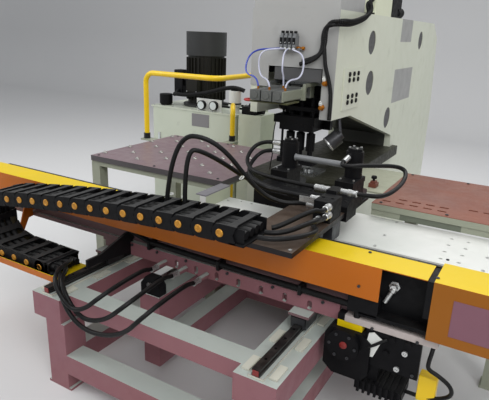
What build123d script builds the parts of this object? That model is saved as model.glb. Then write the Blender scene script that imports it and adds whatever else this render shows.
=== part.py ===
"""CNC plate punching machine: hydraulic C-frame press with three punch
stations, a saddle and carriage that move the clamped plate in two axes, two
support tables, and a hydraulic power unit beside the press.

Millimetres. The origin is on the floor below the middle punch station.
+X runs right along the beam, +Y runs back into the throat, +Z is up.
"""
import os
from math import cos, radians, sin

from build123d import *

os.makedirs("parts", exist_ok=True)

# driving sizes
table_top = 850.0          # top face of both support tables
pass_line = 882.0          # underside of the clamped plate
table_sheet = 8.0
table_flange = 34.0

throat_depth = 1098.0      # from the stations to the back of the throat
throat_height_back = 947.0
head_bottom = 1212.0
press_half_width = 250.0
press_plate = 45.0
press_front = -180.0
press_back = 2440.0
press_top = 1775.0
jaw_top = 858.0            # top face of the lower jaw
jaw_arm_top = 790.0        # top edge of the lower arm of the side plates

station_pitch = 66.0

rail_mid_x = -28.0         # middle of the two saddle rails
rail_spacing = 1102.0
rail_width = 34.0
rail_height = 30.0
rail_top = 510.0
rail_length = 1190.0
rail_hole_pitch = 80.0

frame_back = press_front
frame_top = 470.0
frame_member = 180.0       # width of the members below the rails
leg = 120.0

beam_half_length = 1550.0
beam_front = -1068.0       # front face of the cover
beam_top = 850.0           # top face of the cover
cover_sheet = 3.0
cover_depth = 143.0        # cover top, front to back
cover_drop = 138.0         # cover front, top to bottom
beam_flange_z = 606.0      # underside of the beam's bottom flange
beam_back = -880.0

carriage_left = 315.0
carriage_right = 560.0
carriage_front = -1259.0
carriage_back = -727.0
carriage_z = 889.0         # underside of the carriage plate
carriage_plate_t = 21.0

chain_pitch = 95.2
chain_height = 72.0
chain_width = 190.0
chain_front = -1320.0
chain_bend = 147.0         # radius of the link centres in the loop
chain_side = 9.0           # thickness of a link's side plate
upper_links = 15
lower_links = 4
loop_links = 5

clamp_x = (165.0, 500.0)
clamp_y = -480.0
clamp_top = 1150.0
clamp_bore = 41.0          # radius of the clamp's cylinder
jaw_tip = -330.0

left_table_x = (-1280.0, -254.0)
left_table_y = (-460.0, 430.0)
right_table_x = (560.0, 1280.0)
right_table_y = (-318.0, 400.0)

tank_x = (-1843.0, -960.0)
tank_y = (820.0, 1400.0)
tank_top = 1000.0
pump_x = -1470.0
pump_y = 1130.0
motor_radius = 178.0
motor_top = 1640.0

rail_tube = 19.0           # handrail tube, outer radius
hose = 10.0                # hydraulic hose, outer radius
slack = 0.5                # running and fitting clearance
joint_gap = 0.2            # open line between plates that are joined at their edges

rail_back = press_front - 50
rail_front = rail_back - rail_length
frame_front = rail_front - 10
rail_x = (rail_mid_x - rail_spacing / 2, rail_mid_x + rail_spacing / 2)
station_x = (-station_pitch, 0.0, station_pitch)
carriage_top = carriage_z + carriage_plate_t
chain_back = chain_front + chain_width
chain_z = carriage_top + chain_height / 2


def block(x, y, z, mode=Mode.ADD):
    """A straight block between pairs of limits."""
    middle = ((x[0] + x[1]) / 2, (y[0] + y[1]) / 2, (z[0] + z[1]) / 2)
    with Locations(middle):
        Box(x[1] - x[0], y[1] - y[0], z[1] - z[0], mode=mode)


def rod(start, end, radius, mode=Mode.ADD):
    """A round bar between two points."""
    axis = Vector(*end) - Vector(*start)
    with BuildSketch(Plane(origin=start, z_dir=axis)) as section:
        Circle(radius)
    extrude(section.sketch, amount=axis.length, mode=mode)


def hexagon(start, end, across, mode=Mode.ADD):
    """A hexagonal bar between two points."""
    axis = Vector(*end) - Vector(*start)
    with BuildSketch(Plane(origin=start, z_dir=axis)) as section:
        RegularPolygon(across / 2, 6, major_radius=False)
    extrude(section.sketch, amount=axis.length, mode=mode)


def tube(points, bends, radius):
    """A hose or pipe: straight runs joined by tangent arcs."""
    with BuildLine() as route:
        FilletPolyline(*points, radius=bends)
    path = route.wires()[0]
    with BuildSketch(Plane(origin=path @ 0, z_dir=path % 0)) as section:
        Circle(radius)
    sweep(section.sketch, path=path)


# base frame: welded box members that carry the saddle's rails
member_x = [(x - frame_member / 2, x + frame_member / 2) for x in rail_x]
rail_seat = rail_top - rail_height
leg_x = ((rail_x[0] - 10, rail_x[0] + leg - 10), (rail_x[1] + 10 - leg / 2, rail_x[1] + 10 + leg / 2))
middle_x = (-250.0, -135.0)

with BuildPart() as base_frame:
    for limits in member_x:
        block(limits, (frame_front, frame_back), (frame_top - 120, frame_top))
    for x in rail_x:
        block((x - 32, x + 32), (rail_front, rail_front + rail_length), (frame_top, rail_seat))
    between = (member_x[0][1], member_x[1][0])
    block(between, (frame_front + 60, frame_front + 160), (frame_top - 80, frame_top))
    block(between, (frame_back - 100, frame_back), (frame_top - 120, frame_top))
    block(middle_x, (-1161, frame_back - 100), (frame_top - 155, frame_top))
    for x in leg_x:
        for y in ((frame_front, frame_front + leg), (frame_back - 40 - leg, frame_back - 40)):
            block(x, y, (12, frame_top - 120))
            block((x[0] - 15, x[1] + 15), (y[0] - 0, y[1] + 15), (0, 12))
    for y in (frame_front, frame_back - 140):
        block((leg_x[0][1], leg_x[1][0]), (y, y + 100), (90, 190))
    for x in leg_x:
        block((x[0] + 10, x[1] - 10), (frame_front + leg, frame_back - 40 - leg), (90, 190))
    block((-240, -145), (-1150, -1055), (190, frame_top - 155))
    block((-240, -145), (-1150, frame_back - 140), (90, 190))
    for x in rail_x:
        for side in (-1, 1):
            for y in (rail_front + 25, rail_front + 240, rail_front + 460, rail_back - 410, rail_back - 190):
                block((x + side * 58 - 16, x + side * 58 + 16), (y, y + 90), (frame_top, frame_top + 8))
base_frame.part.label = "base_frame"
export_step(base_frame.part, "parts/base_frame.step")

# saddle rails: grooved section with counterbored holes
with BuildPart() as y_rails:
    for x in rail_x:
        with BuildSketch(Plane(origin=(x, rail_front, rail_seat), x_dir=(1, 0, 0), z_dir=(0, -1, 0))):
            with BuildLine():
                w = rail_width / 2
                Polyline((-w, 0), (w, 0), (w, 10), (w - 5, 14), (w - 5, 18), (w, 23), (w, rail_height),
                         (-w, rail_height), (-w, 23), (-w + 5, 18), (-w + 5, 14), (-w, 10), close=True)
            make_face()
        extrude(amount=-rail_length)
    holes = int(rail_length // rail_hole_pitch)
    for x in rail_x:
        middle = rail_front + rail_length / 2
        with Locations((x, middle, rail_top)):
            with GridLocations(1, rail_hole_pitch, 1, holes):
                CounterBoreHole(4.5, 7, 10, rail_height)
y_rails.part.label = "y_rails"
export_step(y_rails.part, "parts/y_rails.step")

# saddle screw on the middle member, with its bearing blocks and motor
screw_x = sum(middle_x) / 2
screw_z = frame_top + 48
screw_y = (-1100.0, -440.0)
with BuildPart() as y_screw:
    rod((screw_x, screw_y[0] - 60, screw_z), (screw_x, screw_y[1] + 60, screw_z), 16)
y_screw.part.label = "y_screw"
export_step(y_screw.part, "parts/y_screw.step")

with BuildPart() as y_drive:
    for y in (screw_y[0] - 55, screw_y[1] + 5):
        with BuildSketch(Plane.XZ.offset(-y - 50)):
            with BuildLine():
                Polyline((screw_x - 55, frame_top), (screw_x + 55, frame_top), (screw_x + 55, screw_z),
                         (screw_x + 28, screw_z + 38), (screw_x - 28, screw_z + 38), (screw_x - 55, screw_z),
                         close=True)
            make_face()
            with Locations((screw_x, screw_z)):
                Circle(16 + slack / 10, mode=Mode.SUBTRACT)
        extrude(amount=50)
    motor_y = screw_y[1] + 55
    block((screw_x - 38, screw_x + 38), (motor_y, motor_y + 150), (screw_z - 38, screw_z + 38))
    rod((screw_x, motor_y - 1, screw_z), (screw_x, motor_y + 6, screw_z), 16 + slack / 5, Mode.SUBTRACT)
    block((screw_x + 38, screw_x + 64), (motor_y + 80, motor_y + 120), (screw_z - 16, screw_z + 16))
y_drive.part.label = "y_drive"
export_step(y_drive.part, "parts/y_drive.step")

# press frame: two profiled side plates joined by cross plates
plate_x = ((-press_half_width, press_plate - press_half_width),
           (press_half_width - press_plate, press_half_width))
inner = (plate_x[0][1], plate_x[1][0])
cross = (inner[0] + joint_gap, inner[1] - joint_gap)
frame_holes = ((402, 1615, 70), (436, 1374, 75), (1662, 1632, 70), (930, 1098, 75))
with BuildPart() as press_frame:
    for limits in plate_x:
        with BuildSketch(Plane.YZ.offset(limits[0])) as side:
            with BuildLine():
                Polyline((press_front, 0), (press_back, 0), (press_back, 1000), (press_back - 140, 1650),
                         (press_back - 340, press_top), (press_front, press_top), (press_front, head_bottom),
                         (124, head_bottom - 6), (throat_depth, throat_height_back),
                         (throat_depth, jaw_arm_top), (press_front, jaw_arm_top), close=True)
            make_face()
            fillet(side.vertices().sort_by_distance((throat_depth, throat_height_back))[0], 30)
            for y, z, radius in frame_holes:
                with Locations((y, z)):
                    Circle(radius, mode=Mode.SUBTRACT)
        extrude(amount=press_plate)
    block(cross, (press_front, press_front + 30), (0, jaw_arm_top - 30 - joint_gap))
    block(cross, (press_back - 60, press_back - 30), (0, 980))
    block(cross, (press_front, press_back - 345), (press_top - 25, press_top))
    block(cross, (press_front + 30 + joint_gap, press_back - 60 - joint_gap), (0, 25))
    block(cross, (press_front, throat_depth + 30), (jaw_arm_top - 30, jaw_arm_top))
    block(cross, (throat_depth, throat_depth + 30), (jaw_arm_top + joint_gap, throat_height_back + 30))
    with BuildSketch(Plane.YZ.offset(cross[0])):
        with BuildLine():
            Polyline((124, head_bottom - 6), (throat_depth - joint_gap, throat_height_back),
                     (throat_depth - joint_gap, throat_height_back + 31), (124, head_bottom + 25), close=True)
        make_face()
    extrude(amount=cross[1] - cross[0])
    block((press_half_width + joint_gap, press_half_width + 6), (-45, 250), (1250, 1480))
press_frame.part.label = "press_frame"
export_step(press_frame.part, "parts/press_frame.step")

# lower jaw: bed block on the lower arm, with the apron beside it
bed_back = throat_depth + 82
with BuildPart() as lower_jaw:
    with BuildSketch(Plane.XY.offset(jaw_arm_top)) as bed:
        with BuildLine():
            Polyline((left_table_x[1], -158), (-200, press_front - 6), (200, press_front - 6), (290, -150),
                     (290, bed_back), (left_table_x[1], bed_back), close=True)
        make_face()
        with Locations((0, throat_depth + 92)):
            Rectangle(2 * press_half_width + 2, 184 + 2, mode=Mode.SUBTRACT)
    extrude(amount=jaw_top - jaw_arm_top)
    block((290, right_table_x[0]), (-120, 400), (838, 848))
    block((290, 330), (-100, 380), (jaw_arm_top, 838))
lower_jaw.part.label = "lower_jaw"
export_step(lower_jaw.part, "parts/lower_jaw.step")

# die holder with three dies
with BuildPart() as die_holder:
    block((-140, 140), (-75, 95), (jaw_top, pass_line - 12))
    for x in station_x:
        with Locations((x, 0, pass_line - 12)):
            Cylinder(30, 12, align=(Align.CENTER, Align.CENTER, Align.MIN))
    with Locations(*[(x, 0, jaw_top) for x in station_x]):
        Cylinder(14, 60, align=(Align.CENTER, Align.CENTER, Align.MIN), mode=Mode.SUBTRACT)
    with Locations(*[(x, y, pass_line - 12) for x in (-120, 120) for y in (-55, 75)]):
        CounterBoreHole(5, 9, 8, 20)
die_holder.part.label = "die_holder"
export_step(die_holder.part, "parts/die_holder.step")


# bolts that hold the head in the side plate: two groups of six hexagon heads
with BuildPart() as frame_bolts:
    for z in (1430, 1307):
        for y in (25, 105, 185):
            for dz in (-22, 22):
                hexagon((press_half_width + 6, y, z + dz), (press_half_width + 20, y, z + dz), 27)
frame_bolts.part.label = "frame_bolts"
export_step(frame_bolts.part, "parts/frame_bolts.step")

# head cover: folded sheet over the front of the head, open at the window
window_x = (-140.0, 183.0)
window_top = 1478.0
with BuildPart() as head_cover:
    with BuildSketch(Plane.XZ.offset(-press_front)):
        with BuildLine():
            half = press_half_width + 3
            Polyline((-half, 1365), (window_x[0], 1365), (window_x[0], window_top), (window_x[1], window_top),
                     (window_x[1], head_bottom), (half, head_bottom), (half, press_top + 3),
                     (-half, press_top + 3), close=True)
        make_face()
    extrude(amount=4)
head_cover.part.label = "head_cover"
export_step(head_cover.part, "parts/head_cover.step")

# head block: cylinder housing between the side plates, with the guide block and
# the plate that carries the punch heads
ram_radius = 52.0
ram_face = 1378.0
guide_top = 1195.0
guide_low = 1112.0
housing_low = 1440.0
head_plate_low = 1225.0    # clear below the selector blocks when the ram is down
strip_travel = 28.0
shank = 15.0
with BuildPart() as head_block:
    block(cross, (-130, 250), (housing_low, 1640))
    with Locations((0, 0, housing_low)):
        Cylinder(ram_radius + slack / 5, 175, align=(Align.CENTER, Align.CENTER, Align.MIN), mode=Mode.SUBTRACT)
    block((-150, 150), (80 + joint_gap, 118), (guide_low, housing_low - joint_gap))
    block((-150, 110), (-70, 80), (guide_low + 38, guide_top))
    block((-110, 100), (-70, 80), (guide_low, guide_low + 38 - joint_gap))
    block((-128, 128), (-36, 80), (head_plate_low, head_plate_low + 23))
    for x in station_x:
        rod((x, 0, guide_low - 1), (x, 0, 1301), shank + slack / 5, Mode.SUBTRACT)
    for x in (-96, 92):
        rod((x, -52, guide_low - 1), (x, -52, guide_top + 1), 7 + slack / 5, Mode.SUBTRACT)
head_block.part.label = "head_block"
export_step(head_block.part, "parts/head_block.step")

# ram: piston with its press plate
with BuildPart() as ram:
    with Locations((0, 0, ram_face + 22)):
        Cylinder(ram_radius, 160, align=(Align.CENTER, Align.CENTER, Align.MIN))
    block((-140, 140), (-60, 60), (ram_face, ram_face + 22))
    fillet(ram.edges().filter_by(Axis.Z).group_by(SortBy.LENGTH)[0], 8)
ram.part.label = "ram"
export_step(ram.part, "parts/ram.step")

# punches: head, shank, tool holder and cutting end, one in each station
tip_rest = pass_line + 34
punch_tips = {"punch_left": 11.0, "punch_middle": 9.0, "punch_right": 7.0}
for (name, tip), x in zip(punch_tips.items(), station_x):
    with BuildPart() as punch:
        with BuildSketch(Plane.XZ.offset(0)):
            with BuildLine():
                Polyline((x, tip_rest), (x + tip, tip_rest), (x + tip, 950), (x + 16, 958), (x + 16, 985),
                         (x + 26, 990), (x + 26, 1092), (x + shank, 1096), (x + shank, 1301), (x + 24, 1301),
                         (x + 24, 1312), (x, 1312), close=True)
            make_face()
        revolve(axis=Axis((x, 0, 0), (0, 0, 1)))
    punch.part.label = name
    export_step(punch.part, f"parts/{name}.step")

# stripper: hold-down plate on two guide rods
strip_top = tip_rest + 26
with BuildPart() as stripper:
    block((-122, 112), (-64, 64), (tip_rest - 4, strip_top))
    for (name, tip), x in zip(punch_tips.items(), station_x):
        rod((x, 0, tip_rest - 5), (x, 0, strip_top + 1), tip + 2, Mode.SUBTRACT)
        rod((x, 0, tip_rest + 12), (x, 0, strip_top + 1), 18, Mode.SUBTRACT)
    for x in (-96, 92):
        rod((x, -52, strip_top), (x, -52, guide_top + strip_travel + 4), 7)
        rod((x, -52, guide_top + strip_travel + 4), (x, -52, guide_top + strip_travel + 12), 11)
    fillet(stripper.edges().filter_by(Axis.Z).filter_by_position(Axis.Z, 900, 945).sort_by(Axis.X)[0], 6)
stripper.part.label = "stripper"
export_step(stripper.part, "parts/stripper.step")

# selectors: three air cylinders on arms from the ram, each pushing a block between ram and punch
gag_z = (1313.0, ram_face - 1)
gag_travel = 90.0
air_z = 1346.0
air_y = (-445.0, -235.0)
with BuildPart() as selector_cylinders:
    for x in station_x:
        with BuildSketch(Plane.XZ.offset(-air_y[0])) as end:
            with Locations((x, air_z)):
                RectangleRounded(58, 54, 8)
        extrude(end.sketch, amount=-(air_y[1] - air_y[0]))
        with Locations(Plane(origin=(x, air_y[0], air_z), z_dir=(0, -1, 0))):
            Cylinder(22, 8, align=(Align.CENTER, Align.CENTER, Align.MIN))
    block((-114, 114), (air_y[1], air_y[1] + 14), (air_z - 34, air_z + 34))
    for x in (-106, 106):
        block((x - 8, x + 8), (air_y[1], -60), (ram_face + 2, ram_face + 20))
        block((x - 8, x + 8), (air_y[1], air_y[1] + 14), (air_z - 30, ram_face + 20))
    for x in station_x:
        rod((x, air_y[1] - 60, air_z), (x, air_y[1] + 15, air_z), 8 + slack / 5, Mode.SUBTRACT)
selector_cylinders.part.label = "selector_cylinders"
export_step(selector_cylinders.part, "parts/selector_cylinders.step")

gag_names = ("selector_left", "selector_middle", "selector_right")
for name, x in zip(gag_names, station_x):
    with BuildPart() as selector:
        block((x - 27, x + 27), (-25 - gag_travel, 25 - gag_travel), gag_z)
        rod((x, air_y[1] - 55, air_z), (x, -25 - gag_travel, air_z), 8)
    selector.part.label = name
    export_step(selector.part, f"parts/{name}.step")

# valve bank on the head cover: manifold with four small solenoid valves and fittings
bank_x = (-66.0, 34.0)
with BuildPart() as valve_bank:
    y = press_front - 4
    block(bank_x, (y - 30, y), (1562, 1582))
    for i in range(4):
        x = bank_x[0] + 8 + i * 25
        block((x, x + 18), (y - 46, y), (1582, 1640))
        block((x + 2, x + 16), (y - 40, y - 6), (1640, 1652))
        rod((x + 9, y - 30, 1574), (x + 9, y - 42, 1574), 5)
    rod((bank_x[1], y - 16, 1572), (bank_x[1] + 34, y - 16, 1572), 7)
    hexagon((bank_x[1] + 8, y - 16, 1572), (bank_x[1] + 20, y - 16, 1572), 20)
valve_bank.part.label = "valve_bank"
export_step(valve_bank.part, "parts/valve_bank.step")

# work lamp: tilted round head on an arm below the right side plate
with BuildPart() as work_lamp:
    face = Vector(196, -40, 1056)
    aim = Vector(-0.62, -0.45, -0.64).normalized()
    back = face - aim * 70
    rod(tuple(face), tuple(back), 44)
    rod(tuple(back), tuple(back - aim * 22), 26)
    rod(tuple(back - aim * 12), (228, 10, 1190), 9)
    rod((228, 10, 1184), (228, 10, head_bottom - 4), 9)
work_lamp.part.label = "work_lamp"
export_step(work_lamp.part, "parts/work_lamp.step")

# cabinets on top of the frame: a wide one over the head, a tall one behind it,
# with the servo valve behind both
front_cabinet_back = 200.0
front_cabinet_top = 1920.0
cabinet_y = (400.0, 740.0)
cabinet_top = 2050.0
with BuildPart() as top_cabinet:
    block((-press_half_width, press_half_width), cabinet_y, (press_top, cabinet_top))
    block((-press_half_width, press_half_width), (press_front + 2, front_cabinet_back),
          (press_top, front_cabinet_top))
    fillet(top_cabinet.edges().filter_by(Axis.Z), 6)
    block((press_half_width - 150, press_half_width - 4), (cabinet_y[1], cabinet_y[1] + 4),
          (press_top + 30, cabinet_top - 75))
top_cabinet.part.label = "top_cabinet"
export_step(top_cabinet.part, "parts/top_cabinet.step")

with BuildPart() as top_valve:
    y = cabinet_y[1] + 4
    block((110, 235), (y, y + 150), (press_top, press_top + 60))
    with Locations((172, y + 80, press_top + 60)):
        Cylinder(52, 130, align=(Align.CENTER, Align.CENTER, Align.MIN))
        Cylinder(30, 160, align=(Align.CENTER, Align.CENTER, Align.MIN))
top_valve.part.label = "top_valve"
export_step(top_valve.part, "parts/top_valve.step")

# head conduit: from the cabinet along the top edge, down the front to the valves
with BuildPart() as head_conduit:
    x = press_half_width
    tube([(x - 30, cabinet_y[0], 1850), (x - 30, 330, 1850), (x + 32, 230, 1768), (x + 38, -70, 1712),
          (x + 36, -250, 1712), (190, -224, 1700), (194, -216, 1570), (130, -212, 1520),
          (bank_x[1] + 34, -212, 1506)], [30, 80, 110, 45, 40, 90, 60], 20)
    y = press_front - 4 - 11
    tube([(x - 18, y, 1640), (x - 30, y, 1560), (236, y, 1420), (245, y, head_bottom + 6)], [140, 150], 11)
head_conduit.part.label = "head_conduit"
export_step(head_conduit.part, "parts/head_conduit.step")

# air tubes: from the valve bank over to the three selector cylinders
with BuildPart() as air_tubes:
    y = press_front - 46
    starts = [bank_x[0] + 17 + i * 25 for i in range(4)]
    top = air_z + 27
    tube([(starts[0], y, 1574), (starts[0], y - 40, 1574), (-190, y - 80, 1560), (-200, y - 130, 1440),
          (station_x[0] - 10, -410, 1430), (station_x[0] - 10, -410, top)], [18, 40, 50, 25], 3)
    tube([(starts[1], y, 1574), (starts[1], y - 55, 1574), (-130, y - 95, 1560), (-120, -330, 1430),
          (station_x[1] - 10, -410, 1420), (station_x[1] - 10, -410, top)], [18, 40, 50, 20], 3)
    tube([(starts[2], y, 1574), (starts[2], y - 60, 1574), (10, -320, 1470), (station_x[1] + 10, -290, 1430),
          (station_x[1] + 10, -290, top)], [20, 50, 20], 3)
    tube([(starts[3], y, 1574), (starts[3], y - 40, 1574), (120, y - 60, 1550), (120, -300, 1430),
          (station_x[2] + 10, -400, 1425), (station_x[2] + 10, -400, top)], [18, 40, 50, 20], 3)
air_tubes.part.label = "air_tubes"
export_step(air_tubes.part, "parts/air_tubes.step")

# left table: folded sheet with rows of ball transfers, each row half a pitch off the next
ball_x = 141.0
ball_y = 238.0
ball_spots = []
for i in range(7):
    x = left_table_x[0] + 27 + i * ball_x
    count = 4 if i % 2 == 0 else 3
    for j in range(count):
        ball_spots.append((x, -2 + (j - (count - 1) / 2) * ball_y))
with BuildPart() as left_table:
    block(left_table_x, left_table_y, (table_top - table_flange, table_top))
    block((left_table_x[0] + 4, left_table_x[1] - 4), (left_table_y[0] + 4, left_table_y[1] - 4),
          (table_top - table_flange, table_top - table_sheet), Mode.SUBTRACT)
    with Locations(*[(x, y, table_top) for x, y in ball_spots]):
        Cylinder(14, 2 * table_sheet + 2, mode=Mode.SUBTRACT)
left_table.part.label = "left_table"
export_step(left_table.part, "parts/left_table.step")

with BuildPart() as left_table_balls:
    with BuildSketch(Plane.XZ) as cup:
        with BuildLine():
            Polyline((0, -13), (13.9, -13), (13.9, 0), (17, 0), (17, 3), (11, 4.5), (8.5, 9), (4.5, 11.5),
                     (0, 12), close=True)
        make_face()
    unit = revolve(axis=Axis.Z, mode=Mode.PRIVATE)
    with Locations(*[(x, y, table_top) for x, y in ball_spots]):
        add(unit)
left_table_balls.part.label = "left_table_balls"
export_step(left_table_balls.part, "parts/left_table_balls.step")

# right table: folded sheet with rows of slots near its front edge
slot_pitch = 68.0
with BuildPart() as right_table:
    block(right_table_x, right_table_y, (table_top - table_flange, table_top))
    block((right_table_x[0] + 4, right_table_x[1] - 4), (right_table_y[0] + 4, right_table_y[1] - 4),
          (table_top - table_flange, table_top - table_sheet), Mode.SUBTRACT)
    with BuildSketch(Plane.XY.offset(table_top)) as slots:
        for first, y, count in ((616, -248, 5), (684, -184, 4), (1018, -146, 2)):
            with Locations(*[(first + i * slot_pitch, y) for i in range(count)]):
                SlotOverall(46, 17)
    extrude(slots.sketch, amount=-table_sheet, mode=Mode.SUBTRACT)
right_table.part.label = "right_table"
export_step(right_table.part, "parts/right_table.step")

# table frames: posts and rails below both tables, with brackets for the handrail
post_side = 70.0
frame_drop = table_top - table_flange
hand_x = -1370.0
hand_y = 200.0
low_x = -806.0
low_y = 527.0
with BuildPart() as table_frames:
    left_posts = [(left_table_x[0] - 6, left_table_y[0] + 10), (-365, left_table_y[0] + 10),
                  (left_table_x[0] - 6, left_table_y[1] - 80), (-365, left_table_y[1] - 80)]
    for x, y in left_posts:
        block((x, x + post_side), (y, y + post_side), (12, frame_drop))
        block((x - 20, x + post_side + 20), (y - 20, y + post_side + 20), (0, 12))
    for y in (left_table_y[0] + 10, left_table_y[1] - 80):
        block((left_table_x[0] - 6, left_table_x[1] - 40), (y, y + post_side), (784, frame_drop))
    for x in (left_table_x[0] - 6, -365):
        block((x, x + post_side), (left_table_y[0] + 10, left_table_y[1] - 10), (784, frame_drop))
    for x in (left_table_x[0] - 6,):
        block((x + 10, x + 60), (left_table_y[0] + 80, left_table_y[1] - 80), (150, 200))
    block((left_table_x[0] - 12, left_table_x[0] - 0.5), (hand_y - 35, hand_y + 35), (784, table_top))
    block((hand_x - 35, left_table_x[0] - 0.5), (hand_y - 35, hand_y + 35), (table_top - 12, table_top))
    block((low_x - 35, low_x + 35), (left_table_y[1] + 0.5, left_table_y[1] + 12), (784, table_top))
    block((low_x - 35, low_x + 35), (left_table_y[1] - 11, left_table_y[1] + 12), (784, frame_drop))
    block((low_x - 35, low_x + 35), (left_table_y[1] + 0.5, low_y + 35), (table_top - 12, table_top))
    right_posts = [(right_table_x[1] - 72, right_table_y[0] + 6),
                   (right_table_x[1] - 72, right_table_y[1] - 76),
                   (right_table_x[0] + 40, right_table_y[1] - 76)]
    for x, y in right_posts:
        block((x, x + post_side), (y, y + post_side), (12, frame_drop))
        block((x - 8, x + post_side + 8), (y - 0, y + post_side + 20), (0, 12))
    block((right_table_x[0], right_table_x[1] - 2), (right_table_y[0] + 6, right_table_y[0] + 46),
          (784, frame_drop))
    block((right_table_x[0] + 40, right_table_x[1] - 2), (right_table_y[1] - 76, right_table_y[1] - 6),
          (784, frame_drop))
    block((right_table_x[1] - 72, right_table_x[1] - 2), (right_table_y[0] + 6, right_table_y[1] - 6),
          (784, frame_drop))
    block((right_table_x[0] + 40, right_table_x[0] + 110), (right_table_y[0] + 6, right_table_y[1] - 6),
          (784, frame_drop))
table_frames.part.label = "table_frames"
export_step(table_frames.part, "parts/table_frames.step")

# handrail: a high bent tube from the table to a flange on the press, and a low one
high_z = 1340.0
low_z = 1100.0
high_bend_x = -735.0
high_end_y = 900.0
low_end = (-922.0, 714.0)
with BuildPart() as handrail:
    tube([(hand_x, hand_y, table_top), (hand_x, hand_y, high_z), (high_bend_x, hand_y, high_z),
          (high_bend_x, high_end_y, high_z), (-press_half_width, high_end_y, high_z)], [70, 70, 70], rail_tube)
    tube([(low_x, low_y, table_top), (low_x, low_y, low_z), (*low_end, low_z), (*low_end, 0)],
         [60, 60], rail_tube)
    for x, y, z in ((hand_x, hand_y, table_top), (low_x, low_y, table_top)):
        rod((x, y, z), (x, y, z + 42), rail_tube + 6)
    rod((-press_half_width - 8, high_end_y, high_z), (-press_half_width, high_end_y, high_z), 38)
    rod((*low_end, 0), (*low_end, 8), 32)
handrail.part.label = "handrail"
export_step(handrail.part, "parts/handrail.step")

# oil tank with lid, feet and filler neck, and the valve stand beside it
stand_x = (-937.0, -727.0)
stand_y = (830.0, 1080.0)
stand_top = 1010.0
with BuildPart() as oil_tank:
    block(tank_x, tank_y, (80, tank_top - 15))
    fillet(oil_tank.edges().filter_by(Axis.Z), 20)
    block((tank_x[0] + 8, tank_x[1] - 8), (tank_y[0] + 8, tank_y[1] - 8), (90, tank_top - 15), Mode.SUBTRACT)
    block((tank_x[0] - 6, tank_x[1] + 6), (tank_y[0] - 6, tank_y[1] + 6), (tank_top - 15, tank_top))
    rod((pump_x, pump_y, tank_top - 16), (pump_x, pump_y, tank_top + 1), 60, Mode.SUBTRACT)
    for x in (tank_x[0] + 40, tank_x[1] - 120):
        block((x, x + 80), tank_y, (0, 80))
    block((-1401, -1222), (tank_y[0] - 3, tank_y[0]), (861, 969))
    block(stand_x, stand_y, (0, stand_top))
oil_tank.part.label = "oil_tank"
export_step(oil_tank.part, "parts/oil_tank.step")

# pump motor: finned body on a flange, with a louvred cowl on top
fins = 28
with BuildPart() as pump_motor:
    rod((pump_x, pump_y, tank_top), (pump_x, pump_y, tank_top + 22), motor_radius + 25)
    rod((pump_x, pump_y, tank_top + 22), (pump_x, pump_y, 1452), motor_radius - 16)
    with BuildSketch(Plane(origin=(pump_x, pump_y, tank_top + 60))) as ribs:
        with PolarLocations(motor_radius - 10, fins):
            Rectangle(20, 6)
    extrude(ribs.sketch, amount=1452 - tank_top - 90)
    rod((pump_x, pump_y, 1440), (pump_x, pump_y, motor_top), motor_radius)
    rod((pump_x, pump_y, 1460), (pump_x, pump_y, motor_top - 5), motor_radius - 4, Mode.SUBTRACT)
    with BuildSketch(Plane(origin=(pump_x, pump_y, motor_top))) as grille:
        for radius in (60, 95, 130):
            with PolarLocations(radius, 12, start_angle=radius):
                Rectangle(14, 0.36 * radius)
    extrude(grille.sketch, amount=-6, mode=Mode.SUBTRACT)
    block((pump_x - 60, pump_x + 60), (pump_y - motor_radius - 42, pump_y - motor_radius + 25), (1130, 1270))
    rod((pump_x, pump_y, tank_top - 1), (pump_x, pump_y, 1461), 21 + slack / 5, Mode.SUBTRACT)
pump_motor.part.label = "pump_motor"
export_step(pump_motor.part, "parts/pump_motor.step")

with BuildPart() as motor_rotor:
    rod((pump_x, pump_y, tank_top - 110), (pump_x, pump_y, 1545), 21)
    rod((pump_x, pump_y, 1490), (pump_x, pump_y, 1530), 45)
    with BuildSketch(Plane(origin=(pump_x, pump_y, 1490))) as blades:
        with PolarLocations(92, 8):
            Rectangle(104, 5)
    extrude(blades.sketch, amount=38)
    rod((pump_x, pump_y, 1486), (pump_x, pump_y, 1490), 145)
motor_rotor.part.label = "motor_rotor"
export_step(motor_rotor.part, "parts/motor_rotor.step")

# tank fittings: filler cap, two gauges on a bracket, return filter
with BuildPart() as tank_fittings:
    x = -1755
    rod((x, 910, tank_top), (x, 910, tank_top + 14), 50)
    rod((x, 910, tank_top + 14), (x, 910, tank_top + 95), 58)
    block((-1370, -1120), (848, 856), (tank_top, tank_top + 100))
    for x, z in ((-1307, 1047), (-1184, 1051)):
        rod((x, 848, z), (x, 818, z), 38)
    rod((-1019, 900, tank_top), (-1019, 900, tank_top + 60), 40)
    rod((-1019, 900, tank_top + 60), (-1019, 900, tank_top + 185), 52)
tank_fittings.part.label = "tank_fittings"
export_step(tank_fittings.part, "parts/tank_fittings.step")

# valve on the stand: ported block with side solenoids and a bonnet for the handwheel
valve_x = -857.0
valve_y = 900.0
with BuildPart() as stand_valve:
    block((valve_x - 60, valve_x + 70), (valve_y - 55, valve_y + 100), (stand_top, stand_top + 62))
    rod((valve_x + 70, valve_y, stand_top + 32), (valve_x + 118, valve_y, stand_top + 32), 24)
    rod((valve_x, valve_y, stand_top + 62), (valve_x, valve_y, stand_top + 84), 22)
    rod((valve_x, valve_y, stand_top + 40), (valve_x, valve_y, stand_top + 85), 8 + slack / 10, Mode.SUBTRACT)
stand_valve.part.label = "stand_valve"
export_step(stand_valve.part, "parts/stand_valve.step")

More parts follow.
